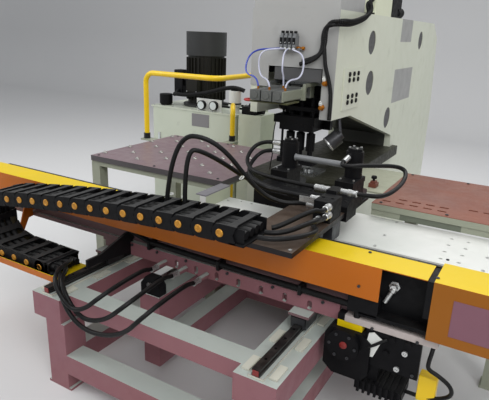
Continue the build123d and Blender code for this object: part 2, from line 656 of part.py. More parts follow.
with BuildPart() as handwheel:
    rod((valve_x, valve_y, stand_top + 42), (valve_x, valve_y, stand_top + 128), 8)
    with Locations((valve_x, valve_y, stand_top + 118)):
        Torus(58, 9)
    rod((valve_x, valve_y, stand_top + 104), (valve_x, valve_y, stand_top + 122), 18)
    for turn in (0, 120, 240):
        reach = Vector(56 * cos(radians(turn)), 56 * sin(radians(turn)), 0)
        centre = Vector(valve_x, valve_y, stand_top + 115)
        rod(tuple(centre), tuple(centre + reach), 6)
handwheel.part.label = "handwheel"
export_step(handwheel.part, "parts/handwheel.step")

# power hoses: two steel pipes from the tank to the stand, two hoses on to the press
with BuildPart() as power_hoses:
    for i in range(2):
        z = stand_top + 20 + i * 25
        x = pump_x + 240 - i * 32
        tube([(x, valve_y + 78, tank_top), (x, valve_y + 78, z), (valve_x - 60, valve_y + 78, z)], [15], 9)
    for i in range(2):
        x = valve_x + 8 + i * 44
        z = 1480 - i * 70
        y = 560 + i * 60
        tube([(x, valve_y + 86, stand_top + 62), (x, valve_y + 86, z - 110), (x + 240, valve_y + 45, z),
              (-335 - i * 10, y + 110, z), (-335 - i * 10, y, z), (-press_half_width - 14, y, z)],
             [70, 90, 60, 50], 13)
        hexagon((-press_half_width - 14, y, z), (-press_half_width, y, z), 40)
power_hoses.part.label = "power_hoses"
export_step(power_hoses.part, "parts/power_hoses.step")

# saddle beam: box girder with a bottom flange, feet over both rails, the nut of its screw
# and the end bearings of the carriage screw
beam_web = (beam_front + 83.0, beam_back)
web_top = 830.0
foot_top = beam_flange_z
bearing_top = rail_top + 38
bearing_y = (-1010.0, -640.0)
bar_y = (-1018.0, -1000.0)
x_screw_y = beam_back + 28.0
x_screw_z = 772.0
with BuildPart() as saddle_beam:
    block((-beam_half_length, beam_half_length), (-1000, beam_back), (beam_flange_z, beam_flange_z + 22))
    block((5 - beam_half_length, beam_half_length - 5), beam_web, (beam_flange_z + 22, web_top))
    block((-beam_half_length, beam_half_length), (beam_web[0] + 8, beam_back - 8),
          (beam_flange_z + 30, web_top - 8), Mode.SUBTRACT)
    for x in rail_x:
        block((x - 45, x + 45), (bearing_y[0] - 62, bearing_y[1] + 62), (bearing_top, bearing_top + 12))
        block((x - 45, x + 45), (bar_y[1], bearing_y[1] + 62), (bearing_top, foot_top))
        block((x - 60, x + 60), (bar_y[1], beam_back + 60), (foot_top - 14, foot_top))
    block((screw_x - 35, screw_x + 35), (-985, -695), (foot_top - 26, foot_top))
    block((screw_x - 35, screw_x + 35), (-765, -695), (screw_z - 30, foot_top - 26))
    rod((screw_x, -766, screw_z), (screw_x, -694, screw_z), 16 + slack / 10, Mode.SUBTRACT)
    with BuildSketch(Plane.YZ.offset(-446)) as gusset:
        with BuildLine():
            Polyline((beam_web[0] + 1, 640), (beam_web[0] + 1, 686), (-1045, 686), (-1219, 634), (-1300, 634),
                     (-1300, 596), (-1219, 596), (-1016, 574), (-999, 574), (-999, 640), close=True)
        make_face()
    extrude(gusset.sketch, amount=12)
    for x in (25 - beam_half_length, beam_half_length - 65):
        block((x, x + 40), (beam_back, beam_back + 54), (x_screw_z - 28, x_screw_z + 28))
        rod((x - 1, x_screw_y, x_screw_z), (x + 41, x_screw_y, x_screw_z), 12 + slack / 10, Mode.SUBTRACT)
saddle_beam.part.label = "saddle_beam"
export_step(saddle_beam.part, "parts/saddle_beam.step")

# bearing blocks on the saddle rails
with BuildPart() as y_bearings:
    for x in rail_x:
        for y in bearing_y:
            block((x - 35, x + 35), (y - 55, y + 55), (rail_top - 16, bearing_top))
            block((x - rail_width / 2 - slack, x + rail_width / 2 + slack), (y - 56, y + 56),
                  (rail_top - 17, rail_top + slack), Mode.SUBTRACT)
            block((x - 30, x + 30), (y - 62, y - 55), (rail_top + 4, bearing_top - 6))
y_bearings.part.label = "y_bearings"
export_step(y_bearings.part, "parts/y_bearings.step")

# carriage rails: one on top of the girder, one on its rear face
top_rail_y = -905.0
rear_rail_z = 690.0
rail_side = 7.5
rail_reach = beam_half_length - 50
with BuildPart() as x_rails:
    block((-rail_reach, rail_reach), (top_rail_y - rail_side, top_rail_y + rail_side), (web_top, web_top + 15))
    block((-rail_reach, rail_reach), (beam_back, beam_back + 15),
          (rear_rail_z - rail_side, rear_rail_z + rail_side))
x_rails.part.label = "x_rails"
export_step(x_rails.part, "parts/x_rails.step")

# beam covers: long folded cover over the front of the girder, boxed cover at the right end
recess = (835.0, 1018.0)
cover_rear = beam_front + cover_depth
rib_pitch = 750.0
with BuildPart() as beam_covers:
    with BuildSketch(Plane.YZ.offset(-beam_half_length)) as fold:
        with BuildLine():
            t = cover_sheet
            Polyline((cover_rear, beam_top), (beam_front, beam_top), (beam_front, beam_top - cover_drop),
                     (beam_front + t, beam_top - cover_drop), (beam_front + t, beam_top - t),
                     (cover_rear, beam_top - t), close=True)
        make_face()
    extrude(fold.sketch, amount=beam_half_length + recess[0])
    block((recess[0], recess[1] - 22), (beam_front, cover_rear), (beam_top - t, beam_top))
    for x in (-rail_reach, -rib_pitch, 0, rib_pitch):
        block((x, x + t), (beam_front + t, beam_web[0]), (beam_top - cover_drop + 10, beam_top - t))
    block((recess[1], beam_half_length), (beam_front, beam_back), (beam_top - 230, beam_top))
    block((recess[1] + t, beam_half_length - t), (beam_front + t, beam_back + 1),
          (beam_top - 231, beam_top - t), Mode.SUBTRACT)
    block((recess[1] - 1, beam_half_length + 1), (-1000.5, beam_back + 1), (beam_top - 245, 632),
          Mode.SUBTRACT)
    block((recess[1] - 1, recess[1] + 4), (beam_web[0] - 0.5, beam_back + 1), (600, beam_top - t),
          Mode.SUBTRACT)
beam_covers.part.label = "beam_covers"
export_step(beam_covers.part, "parts/beam_covers.step")

# saddle deck: pale sheet behind the girder on three brackets, with holes and a side wall
deck_z = (755.0, 775.0)
with BuildPart() as saddle_deck:
    with BuildSketch(Plane.XY.offset(deck_z[0])) as sheet:
        with BuildLine():
            Polyline((-280, -715), (1180, -715), (1180, -305), (275, -305), (275, -480), (-280, -480),
                     close=True)
        make_face()
        with Locations((-65, -508)):
            with GridLocations(66, 0, 2, 1):
                Circle(8, mode=Mode.SUBTRACT)
        with Locations((1008, -530)):
            with GridLocations(72, 88, 2, 4):
                Circle(9, mode=Mode.SUBTRACT)
    extrude(sheet.sketch, amount=deck_z[1] - deck_z[0])
    block((-225, -187), (-715, -480), (deck_z[1], table_top - 6))
    block((left_table_x[1] + 4, -225), (-715, -480), (table_top - 12, table_top - 6))
    for x in (-120, 398, 1090):
        block((x, x + 60), (-992, -640), (foot_top - 18, foot_top))
        block((x, x + 60), (-652, -640), (foot_top, deck_z[0]))
saddle_deck.part.label = "saddle_deck"
export_step(saddle_deck.part, "parts/saddle_deck.step")

# chain tray: folded trough on two brackets from the girder
tray_x = (-beam_half_length - 50, -600.0)
tray_y = (chain_front - 22, chain_back + 8)
tray_z = 484.0
with BuildPart() as chain_tray:
    block(tray_x, tray_y, (tray_z, tray_z + 3))
    block(tray_x, (tray_y[0], tray_y[0] + 3), (tray_z, tray_z + 32))
    block((tray_x[1] - 3, tray_x[1]), tray_y, (tray_z, tray_z + 12))
    for x in (tray_x[0] + 120, tray_x[0] + 400):
        with BuildSketch(Plane.YZ.offset(x)) as arm:
            with BuildLine():
                Polyline((beam_web[0], 640), (beam_web[0], 700), (-1040, 700), (tray_y[1] + 8, 500),
                         (tray_y[1] + 8, tray_z), (tray_y[0], tray_z), (tray_y[0], tray_z - 14),
                         (-1104, tray_z - 14), (-1030, 600), (-1001, 605), (-1001, 640), close=True)
            make_face()
        extrude(arm.sketch, amount=8)
chain_tray.part.label = "chain_tray"
export_step(chain_tray.part, "parts/chain_tray.step")

# fitting bar below the girder: slotted bar with three hose fittings
fitting_x = (-210.0, -88.0, 33.0)
fitting_z = 580.0
with BuildPart() as fitting_bar:
    block((-432, 676), bar_y, (562, 630))
    with BuildSketch(Plane.XZ.offset(-bar_y[0])) as slots:
        with Locations(*[(86 + i * 115, 587) for i in range(-2, 5)]):
            SlotOverall(40, 22, rotation=90)
    extrude(slots.sketch, amount=-20, mode=Mode.SUBTRACT)
    for x in fitting_x:
        hexagon((x, bar_y[0], fitting_z), (x, bar_y[0] - 26, fitting_z), 26)
        rod((x, bar_y[0] - 26, fitting_z), (x, bar_y[0] - 62, fitting_z), 13)
fitting_bar.part.label = "fitting_bar"
export_step(fitting_bar.part, "parts/fitting_bar.step")

# saddle hoses: from the chain's fixed end round to the fitting bar, and the long one along the girder
hose_y = bar_y[0] - 62
with BuildPart() as saddle_hoses:
    tube([(-705, -1275, 525), (-600, -1310, 540), (-450, -1465, 545), (-330, -1465, 395), (-90, -1465, 440),
          (55, -1465, 600), (36, -1180, 600), (33, -1125, fitting_z), (33, hose_y, fitting_z)],
         [100, 80, 90, 120, 60, 40, 30], hose)
    tube([(-705, -1225, 525), (-610, -1260, 545), (-455, -1448, 585), (-350, -1450, 440), (-200, -1450, 470),
          (-65, -1450, 592), (-86, -1180, 602), (-88, -1125, fitting_z), (-88, hose_y, fitting_z)],
         [100, 60, 60, 90, 60, 40, 30], hose)
    tube([(-705, -1175, 525), (-630, -1205, 560), (-470, -1478, 625), (-385, -1478, 500), (-290, -1478, 505),
          (-190, -1450, 602), (-208, -1180, 604), (-210, -1125, fitting_z), (-210, hose_y, fitting_z)],
         [70, 60, 40, 60, 60, 40, 30], hose)
saddle_hoses.part.label = "saddle_hoses"
export_step(saddle_hoses.part, "parts/saddle_hoses.step")

# beam hose: held along the front of the girder between cover and fitting bar, with clips
with BuildPart() as beam_hose:
    y = -1030.0
    tube([(-700, y, 704), (-430, y, 704), (-300, y, 668), (300, y, 656), (752, y, 652),
          (752, y, 606.3)], [200, 200, 900, 28], 13)
    for x in (-300, 100, 500):
        block((x, x + 14), (y - 16, beam_web[0]), (632, 676))
beam_hose.part.label = "beam_hose"
export_step(beam_hose.part, "parts/beam_hose.step")

# carriage drive under the right of the girder: hanger plate, gearbox and finned motor
with BuildPart() as x_drive:
    block((800, 1009), (-1042, -1024), (423, 606))
    block((708, 1062), (-1042, -900), (foot_top - 26, foot_top))
    with BuildSketch(Plane.XZ.offset(1060)) as casting:
        with BuildLine():
            Polyline((639, 380), (680, 345), (800, 345), (826, 380), (826, 520), (790, 550), (660, 550),
                     (639, 520), close=True)
        make_face()
    extrude(casting.sketch, amount=-140)
    rod((722, -1060, 496), (722, -1088, 496), 66)
    block((679, 781), (-1040, -940), (550, foot_top))
    block((826, 850), (-1024, -940), (430, 500))
    block((777, 965), (-1050, -930), (304, 345))
    for i in range(8):
        block((790 + i * 23, 800 + i * 23), (-1062, -918), (299, 352))
    block((800, 860), (-1030, -950), (345, 424))
    for x, z in ((902, 564), (883, 500), (960, 564)):
        hexagon((x, -1042, z), (x, -1052, z), 22)
x_drive.part.label = "x_drive"
export_step(x_drive.part, "parts/x_drive.step")

# carriage screw on the rear of the girder
with BuildPart() as x_screw:
    rod((-rail_reach, x_screw_y, x_screw_z), (rail_reach, x_screw_y, x_screw_z), 12)
x_screw.part.label = "x_screw"
export_step(x_screw.part, "parts/x_screw.step")


# drag chain: profiled side plates, two cross bars per link, round pins at the joints
def chain_link(start, finish):
    """One link between two pin centres, given as (x, z) pairs."""
    ax, az = start
    run = Vector(finish[0] - ax, 0, finish[1] - az)
    along = run.normalized()
    length = run.length
    r = chain_height / 2
    notch = 3.7
    for y in (chain_front, chain_back - chain_side):
        plate = Plane(origin=(ax, y, az), x_dir=tuple(along), z_dir=(0, -1, 0))
        with BuildSketch(plate) as side:
            with BuildLine():
                Polyline((0, r), (length - 24, r), (length - r - notch, 0), (length - 24, -r), (0, -r))
                ThreePointArc((0, r), (-r, 0), (0, -r))
            make_face()
        extrude(side.sketch, amount=-chain_side)
    for y, reach in ((chain_front - 2, -4), (chain_back + 2, 4)):
        with BuildSketch(Plane(origin=(ax, y, az), x_dir=tuple(along), z_dir=(0, -1, 0))) as pin:
            Circle(15)
        extrude(pin.sketch, amount=reach)
    bar = Plane(origin=(ax, chain_front, az), x_dir=tuple(along), z_dir=(0, -1, 0))
    with BuildSketch(bar) as bars:
        for side_of in (-1, 1):
            with Locations((chain_pitch / 2 - 2, side_of * (r - 5))):
                Rectangle(32, 8)
    extrude(bars.sketch, amount=-chain_width)


def on_run(k):
    """Centre of pin k of the upper run, which sags towards the loop."""
    t = k / (upper_links - 1)
    return (292 - chain_pitch * k, chain_z - 126 * (0.3 * t + 0.7 * t * t))


with BuildPart() as drag_chain_upper:
    for k in range(upper_links - 1):
        chain_link(on_run(k + 1), on_run(k))
    x, z = on_run(0)
    chain_link((x, z), (x + 128, z))
    block((x + 40, x + 104), (chain_front, chain_back), (carriage_top, carriage_top + 8))
drag_chain_upper.part.label = "drag_chain_upper"
export_step(drag_chain_upper.part, "parts/drag_chain_upper.step")

bend_start = 86.5
bend_step = 37.8
run_end = on_run(upper_links - 1)
bend_x = run_end[0] - chain_bend * cos(radians(bend_start))
bend_z = run_end[1] - chain_bend * sin(radians(bend_start))
bend_pins = []
for k in range(loop_links + 1):
    angle = radians(bend_start + k * bend_step)
    bend_pins.append((bend_x + chain_bend * cos(angle), bend_z + chain_bend * sin(angle)))
with BuildPart() as drag_chain_loop:
    for k in range(loop_links):
        chain_link(bend_pins[k + 1], bend_pins[k])
drag_chain_loop.part.label = "drag_chain_loop"
export_step(drag_chain_loop.part, "parts/drag_chain_loop.step")

with BuildPart() as drag_chain_lower:
    pins = [bend_pins[-1], (-941, 527), (-846, 525), (-751, 523)]
    for k in range(lower_links - 1):
        chain_link(pins[k + 1], pins[k])
    x, z = pins[-1]
    for y in (chain_front, chain_back - chain_side):
        block((x + 37, x + 62), (y, y + chain_side), (z - 36, z + 36))
    block((x + 20, x + 62), (chain_front, chain_back), (z - 36, z - 28))
    block((x + 38, x + 58), (chain_front, chain_back), (z + 28, z + 36))
drag_chain_lower.part.label = "drag_chain_lower"
export_step(drag_chain_lower.part, "parts/drag_chain_lower.step")

# carriage plate with risers down to the bearing blocks on the top rail
carriage_mid = (carriage_left + carriage_right) / 2
block_x = (carriage_left + 30, carriage_right - 85)
with BuildPart() as carriage_plate:
    block((carriage_left, carriage_right), (carriage_front, carriage_back), (carriage_z, carriage_top))
    for x in block_x:
        block((x, x + 55), (top_rail_y - 17, top_rail_y + 17), (866, carriage_z))
carriage_plate.part.label = "carriage_plate"
export_step(carriage_plate.part, "parts/carriage_plate.step")

# carriage arm: upright behind the girder with bearing blocks on both rails and the screw's nut
arm_y = (-822.0, -800.0)
with BuildPart() as carriage_arm:
    block((carriage_left + 15, carriage_right - 15), arm_y, (650, carriage_z))
    block((carriage_right - 50, carriage_right - 15), (arm_y[1], carriage_back), (800, carriage_z))
    block((carriage_left + 15, carriage_left + 50), (arm_y[1], carriage_back), (800, carriage_z))
    for x in block_x:
        block((x, x + 55), (top_rail_y - 17, top_rail_y + 17), (web_top + 4, 866))
        block((x - 1, x + 56), (top_rail_y - rail_side - slack, top_rail_y + rail_side + slack),
              (web_top + 3, web_top + 15 + slack), Mode.SUBTRACT)
        block((x, x + 55), (beam_back + 4, arm_y[0]), (rear_rail_z - 25, rear_rail_z + 25))
        block((x - 1, x + 56), (beam_back + 3, beam_back + 15 + slack),
              (rear_rail_z - rail_side - slack, rear_rail_z + rail_side + slack), Mode.SUBTRACT)
    block((carriage_mid - 30, carriage_mid + 30), (beam_back + 4, arm_y[0]), (x_screw_z - 26, x_screw_z + 26))
    rod((carriage_mid - 31, x_screw_y, x_screw_z), (carriage_mid + 31, x_screw_y, x_screw_z), 12 + slack / 10,
        Mode.SUBTRACT)
carriage_arm.part.label = "carriage_arm"
export_step(carriage_arm.part, "parts/carriage_arm.step")

# manifold on the carriage: ported block with a rear port block
manifold_x = (480.0, 558.0)
manifold_y = (-900.0, -775.0)
manifold_top = carriage_top + 90
port = (484.0, 530.0)
with BuildPart() as manifold:
    block(manifold_x, manifold_y, (carriage_top, manifold_top))
    block(port, (manifold_y[1], -700), (carriage_top + 62, manifold_top + 15))
    chamfer(manifold.edges().filter_by(Axis.Z).sort_by(Axis.Y)[0:2], 4)
    with Locations(*[(x, -838, manifold_top) for x in (498, 540)]):
        CounterBoreHole(5, 8, 8, 30)
manifold.part.label = "manifold"
export_step(manifold.part, "parts/manifold.step")

# clamp frame: cross member behind the carriage plate that carries both clamps
with BuildPart() as clamp_frame:
    with BuildSketch(Plane.YZ.offset(clamp_x[0] - 65)) as section:
        with BuildLine():
            Polyline((carriage_back, carriage_z - 21), (carriage_back + 127, carriage_z - 21),
                     (carriage_back + 127, 960), (carriage_back + 40, 960), (carriage_back, 935), close=True)
        make_face()
    extrude(section.sketch, amount=clamp_x[1] - clamp_x[0] + 135)
    for x in ((clamp_x[0] + clamp_x[1]) / 2 - 70, (clamp_x[0] + clamp_x[1]) / 2 + 70):
        block((x - 45, x + 45), (carriage_back + 60, carriage_back + 128), (905, 961), Mode.SUBTRACT)
clamp_frame.part.label = "clamp_frame"
export_step(clamp_frame.part, "parts/clamp_frame.step")

# clamp bodies: open-mouthed body with a cylinder on top, at both ends of the frame
clamp_rear = carriage_back + 127
grip = pass_line - 14
port_left = clamp_x[0] - 52
port_base = Vector(clamp_x[1], clamp_y, 1135)
port_dir = Vector(-0.25, -0.87, -0.42).normalized()
with BuildPart() as clamp_bodies:
    for x in clamp_x:
        with BuildSketch(Plane.YZ.offset(x - 45)) as side:
            with BuildLine():
                Polyline((clamp_rear, grip), (jaw_tip, grip), (jaw_tip, pass_line - 4),
                         (jaw_tip - 14, pass_line), (-440, pass_line), (-440, 985), (-428, 985),
                         (-428, 1010), (clamp_rear, 1010), close=True)
            make_face()
        extrude(side.sketch, amount=90)
        block((x - 33, x + 33), (-552, -427), (pass_line, 985), Mode.SUBTRACT)
        rod((x, clamp_y, 1010), (x, clamp_y, clamp_top - 14), clamp_bore)
        rod((x, clamp_y, clamp_top - 14), (x, clamp_y, clamp_top), clamp_bore - 8)
        rod((x, clamp_y, 984), (x, clamp_y, 1110), 15 + slack / 10, Mode.SUBTRACT)
    block((port_left, clamp_x[0] - 30), (clamp_y - 15, clamp_y + 15), (1058, 1136))
    rod(tuple(port_base + port_dir * 20), tuple(port_base + port_dir * 54), 14)
clamp_bodies.part.label = "clamp_bodies"
export_step(clamp_bodies.part, "parts/clamp_bodies.step")

for name, x in zip(("clamp_jaw_left", "clamp_jaw_right"), clamp_x):
    with BuildPart() as jaw:
        with BuildSketch(Plane.YZ.offset(x - 32)) as side:
            with BuildLine():
                Polyline((-545, 905), (-430, 905), (-350, 896), (jaw_tip, 896), (jaw_tip, 918), (-420, 950),
                         (-545, 950), close=True)
            make_face()
        extrude(side.sketch, amount=64)
        rod((x, clamp_y, 949), (x, clamp_y, 1090), 15)
    jaw.part.label = name
    export_step(jaw.part, f"parts/{name}.step")

# hose fittings on the carriage: crimped sleeves at every hose end, and a small bracket
sleeve = 13.0
ends = [((550, -900, 985), (550, -940, 985)), ((553, -900, 952), (553, -940, 952)),
        ((512, -900, 925), (512, -940, 925)), ((480, -850, 960), (436, -850, 960)),
        ((480, -815, 979), (437, -815, 979)), ((484, -717, 1000), (412, -717, 1000)),
        ((530, -717, 1002), (600, -717, 1002)), ((480, -790, 948), (440, -790, 948)),
        ((port_left, clamp_y, 1119), (port_left - 40, clamp_y, 1119)),
        ((port_left, clamp_y, 1076), (port_left - 40, clamp_y, 1076)),
        (tuple(port_base + port_dir * 54), tuple(port_base + port_dir * 92))]
with BuildPart() as hose_fittings:
    for tip, back in ends:
        rod(tip, back, sleeve)
    block((404, 480), (-875, -871), (974, 1000))
hose_fittings.part.label = "hose_fittings"
export_step(hose_fittings.part, "parts/hose_fittings.step")

# carriage hoses: three from the chain's end, two arcs rising from the chain, loops to both clamps
with BuildPart() as carriage_hoses:
    tube([(424, -1160, 946), (440, -1152, 946), (530, -1010, 1000), (550, -985, 985), (550, -940, 985)],
         [40, 60, 15], hose)
    tube([(424, -1215, 946), (480, -1205, 944), (560, -1060, 975), (553, -985, 952), (553, -940, 952)],
         [80, 60, 60], hose)
    tube([(424, -1265, 942), (490, -1255, 940), (592, -1090, 940), (512, -985, 925), (512, -940, 925)],
         [80, 60, 60], hose)
    tube([(-76, -1170, 930), (-62, -1150, 1240), (110, -1080, 1240), (235, -940, 1000), (330, -888, 952),
          (405, -850, 960), (436, -850, 960)], [75, 110, 150, 60, 40], hose)
    tube([(13, -1158, 938), (-2, -1144, 1185), (60, -1085, 1180), (190, -860, 1000), (300, -815, 979),
          (437, -815, 979)], [38, 80, 150, 100], hose)
    tube([(port_left - 40, clamp_y, 1119), (20, clamp_y, 1119), (-38, -505, 1088), (-35, -590, 1024),
          (110, -717, 1000), (412, -717, 1000)], [60, 40, 60, 150], hose)
    tube([(port_left - 40, clamp_y, 1076), (25, clamp_y, 1076), (-22, -512, 1035), (-5, -620, 985),
          (130, -735, 970), (345, -785, 963), (400, -790, 948), (440, -790, 948)],
         [40, 40, 60, 120, 60, 40], hose)
    start = port_base + port_dir * 92
    turn = port_base + port_dir * 135
    tube([tuple(start), tuple(turn), (570, -560, 1092), (700, -310, 1060), (735, -420, 1015),
          (725, -700, 1008), (640, -717, 1002), (600, -717, 1002)], [20, 80, 45, 120, 60, 40], hose)
carriage_hoses.part.label = "carriage_hoses"
export_step(carriage_hoses.part, "parts/carriage_hoses.step")
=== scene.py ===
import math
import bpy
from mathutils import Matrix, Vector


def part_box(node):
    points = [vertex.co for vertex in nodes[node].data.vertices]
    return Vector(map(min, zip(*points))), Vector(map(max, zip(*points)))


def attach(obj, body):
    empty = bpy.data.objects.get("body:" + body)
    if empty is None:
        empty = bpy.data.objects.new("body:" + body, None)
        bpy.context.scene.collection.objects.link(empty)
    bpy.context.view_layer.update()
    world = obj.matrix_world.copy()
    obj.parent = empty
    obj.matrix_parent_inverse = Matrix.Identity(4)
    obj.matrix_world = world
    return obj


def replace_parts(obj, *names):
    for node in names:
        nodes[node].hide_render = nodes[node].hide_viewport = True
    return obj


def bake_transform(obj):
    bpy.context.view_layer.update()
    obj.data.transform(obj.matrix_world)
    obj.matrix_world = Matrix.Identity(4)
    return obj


bl_info = {
    "name": "Plate punching machine",
    "version": (1, 0),
    "blender": (4, 5, 0),
    "location": "3D View > Sidebar > Machine",
    "description": "Dresses the packed frame of a plate punching machine with finishes and fine pieces",
    "category": "Object",
}

import bmesh
import bpy
from mathutils import Matrix, Vector

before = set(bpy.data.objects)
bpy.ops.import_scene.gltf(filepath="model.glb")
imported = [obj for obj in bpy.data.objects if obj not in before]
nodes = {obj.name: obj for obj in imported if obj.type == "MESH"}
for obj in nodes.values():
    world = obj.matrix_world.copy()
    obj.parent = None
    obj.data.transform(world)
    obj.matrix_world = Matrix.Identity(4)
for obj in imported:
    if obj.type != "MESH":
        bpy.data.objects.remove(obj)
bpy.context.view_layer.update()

MM = 0.001
UP = (0, 0, 1)
RIGHT = (1, 0, 0)
LEFT = (-1, 0, 0)
REAR = (0, 1, 0)
FRONT = (0, -1, 0)


# Colours and finishes

def tint(red, green, blue):
    """A colour given as it looks on a screen, 0 to 255, as linear light."""
    return tuple(((c / 255 + 0.055) / 1.055) ** 2.4 if c > 10 else c / 255 / 12.92
                 for c in (red, green, blue))


class Nodes:
    """A node tree with helpers that add a node, and that link or set its sockets."""

    def __init__(self, tree):
        self.tree = tree

    def put(self, socket, value):
        if isinstance(value, bpy.types.NodeSocket):
            self.tree.links.new(value, socket)
        else:
            socket.default_value = value

    def add(self, kind, values=None, **options):
        node = self.tree.nodes.new(kind)
        for key, value in options.items():
            setattr(node, key, value)
        for key, value in (values or {}).items():
            self.put(node.inputs[key], value)
        return node.outputs

    def maths(self, operation, first, second=0.0):
        return self.add("ShaderNodeMath", {0: first, 1: second}, operation=operation)[0]


class Finish(Nodes):
    """A material on object coordinates."""

    def __init__(self, name):
        self.material = bpy.data.materials.new(name)
        self.material.use_nodes = True
        super().__init__(self.material.node_tree)
        self.shader = self.tree.nodes["Principled BSDF"]
        self.place = self.add("ShaderNodeTexCoord")["Object"]

    def noise(self, scale, detail=3.0, stretch=(1, 1, 1)):
        mapped = self.add("ShaderNodeMapping", {"Vector": self.place, "Scale": stretch})[0]
        return self.add("ShaderNodeTexNoise", {"Vector": mapped, "Scale": scale, "Detail": detail})["Fac"]

    def spread(self, value, low, high, start=0.35, end=0.65):
        """The value taken from one range to another."""
        return self.add("ShaderNodeMapRange", {"Value": value, "From Min": start, "From Max": end,
                                               "To Min": low, "To Max": high})["Result"]

    def mix(self, factor, *pair):
        """One colour or socket mixed into another."""
        first, second = (c if isinstance(c, bpy.types.NodeSocket) else (*c, 1.0) for c in pair)
        return self.add("ShaderNodeMix", {0: factor, 6: first, 7: second}, data_type="RGBA")[2]

    def between(self, axis, low, high):
        """1 inside a band along one axis, in metres, else 0."""
        along = self.add("ShaderNodeSeparateXYZ", {0: self.place})["XYZ".index(axis)]
        above = self.maths("GREATER_THAN", along, low)
        return self.maths("MULTIPLY", above, self.maths("LESS_THAN", along, high))

    def upward(self):
        normal = self.add("ShaderNodeNewGeometry")["Normal"]
        return self.add("ShaderNodeSeparateXYZ", {0: normal})[2]


finishes = {}
SOOT = (0.05, 0.045, 0.04)
DUST = (0.42, 0.4, 0.37)


def darker(colour, share=0.82):
    return tuple(c * share for c in colour)


def coat(name, colour, rough=0.4, metal=0.0, other=None, patch=4.0, change=0.3, grain=420.0, bump=0.08,
         dust=0.12, clear=0.0, stretch=(1, 1, 1), zones=(), upper=None, shine=0.5):
    """A worn surface: two near colours in patches, fine grain, dust on top faces and marks.

    zones are pairs of a list of (axis, low, high) limits and the colour inside them.
    upper is the colour that the faces turned up have: painted light, a lit colour for the tops apart from the
    sides."""
    look = Finish(name)
    broad = look.noise(patch, 4.0, stretch)
    share = look.spread(broad, 0.0, change)
    paint = look.mix(share, colour, other or darker(colour))
    # Painted light: faces turned up take the lit upper colour in place of the side colour.
    if upper:
        top_light_share = look.spread(look.upward(), 0.0, 1.0, 0.4, 0.8)
        paint = look.mix(top_light_share, paint, look.mix(share, upper, darker(upper, 0.86)))
    for bands, shade in zones:
        mask = 1.0
        for axis, low, high in bands:
            mask = look.maths("MULTIPLY", look.between(axis, low, high), mask)
        paint = look.mix(mask, paint, look.mix(share, shade, darker(shade)))
    marks = look.noise(patch * 7, 6.0, stretch)
    paint = look.mix(look.spread(marks, 0.0, dust, 0.6, 0.78), paint, SOOT)
    if dust:
        settled = look.maths("MULTIPLY", look.spread(look.upward(), 0.0, 1.0, 0.6, 0.98),
                             look.spread(look.noise(patch * 2.2), 0.0, dust, 0.4, 0.7))
        paint = look.mix(settled, paint, DUST)
    worn = look.spread(marks, max(rough - 0.07, 0.03), min(rough + 0.12, 1.0))
    fine = look.noise(grain, 2.0, stretch)
    relief = look.add("ShaderNodeBump", {"Strength": bump, "Distance": 0.0015, "Height": fine})[0]
    for socket, value in (("Base Color", paint), ("Roughness", worn), ("Metallic", metal),
                          ("Coat Weight", clear), ("Coat Roughness", 0.15), ("Specular IOR Level", shine),
                          ("Normal", relief)):
        look.put(look.shader.inputs[socket], value)
    finishes[name] = look.material


shades = {
    "cream": tint(213, 217, 199),
    "cover": tint(168, 168, 166),
    # Painted light: the frame pink as its shaded fronts look; the next colour is a painted highlight, the lit
    # reflection on its tops.
    "pink": tint(139, 95, 102),
    "pink_highlight": tint(180, 188, 182),
    "yellow": tint(228, 196, 16),
    # Painted shade: the cover yellow as its fronts look in shade.
    "yellow_in_shade": tint(186, 100, 1),
    "rust_red": tint(134, 78, 58),
    # Painted light: the lit top colour of the left table.
    "dull_red": tint(126, 106, 112),
    "beam_green": tint(152, 156, 138),
    "deck": tint(228, 228, 224),
    "steel": tint(176, 178, 178),
    "dark_steel": tint(74, 76, 80),
    "black": tint(13, 13, 15),
    "worn_black": tint(22, 22, 24),
    "rubber": tint(11, 11, 12),
    "gold": tint(196, 140, 44),
    "brass": tint(190, 120, 40),
    "silver": tint(205, 206, 205),
    "motor": tint(54, 55, 55),
    "tank": tint(198, 204, 188),
    "olive": tint(84, 86, 48),
    "cylinder": tint(98, 100, 98),
    "bare_field": tint(158, 158, 156),
}


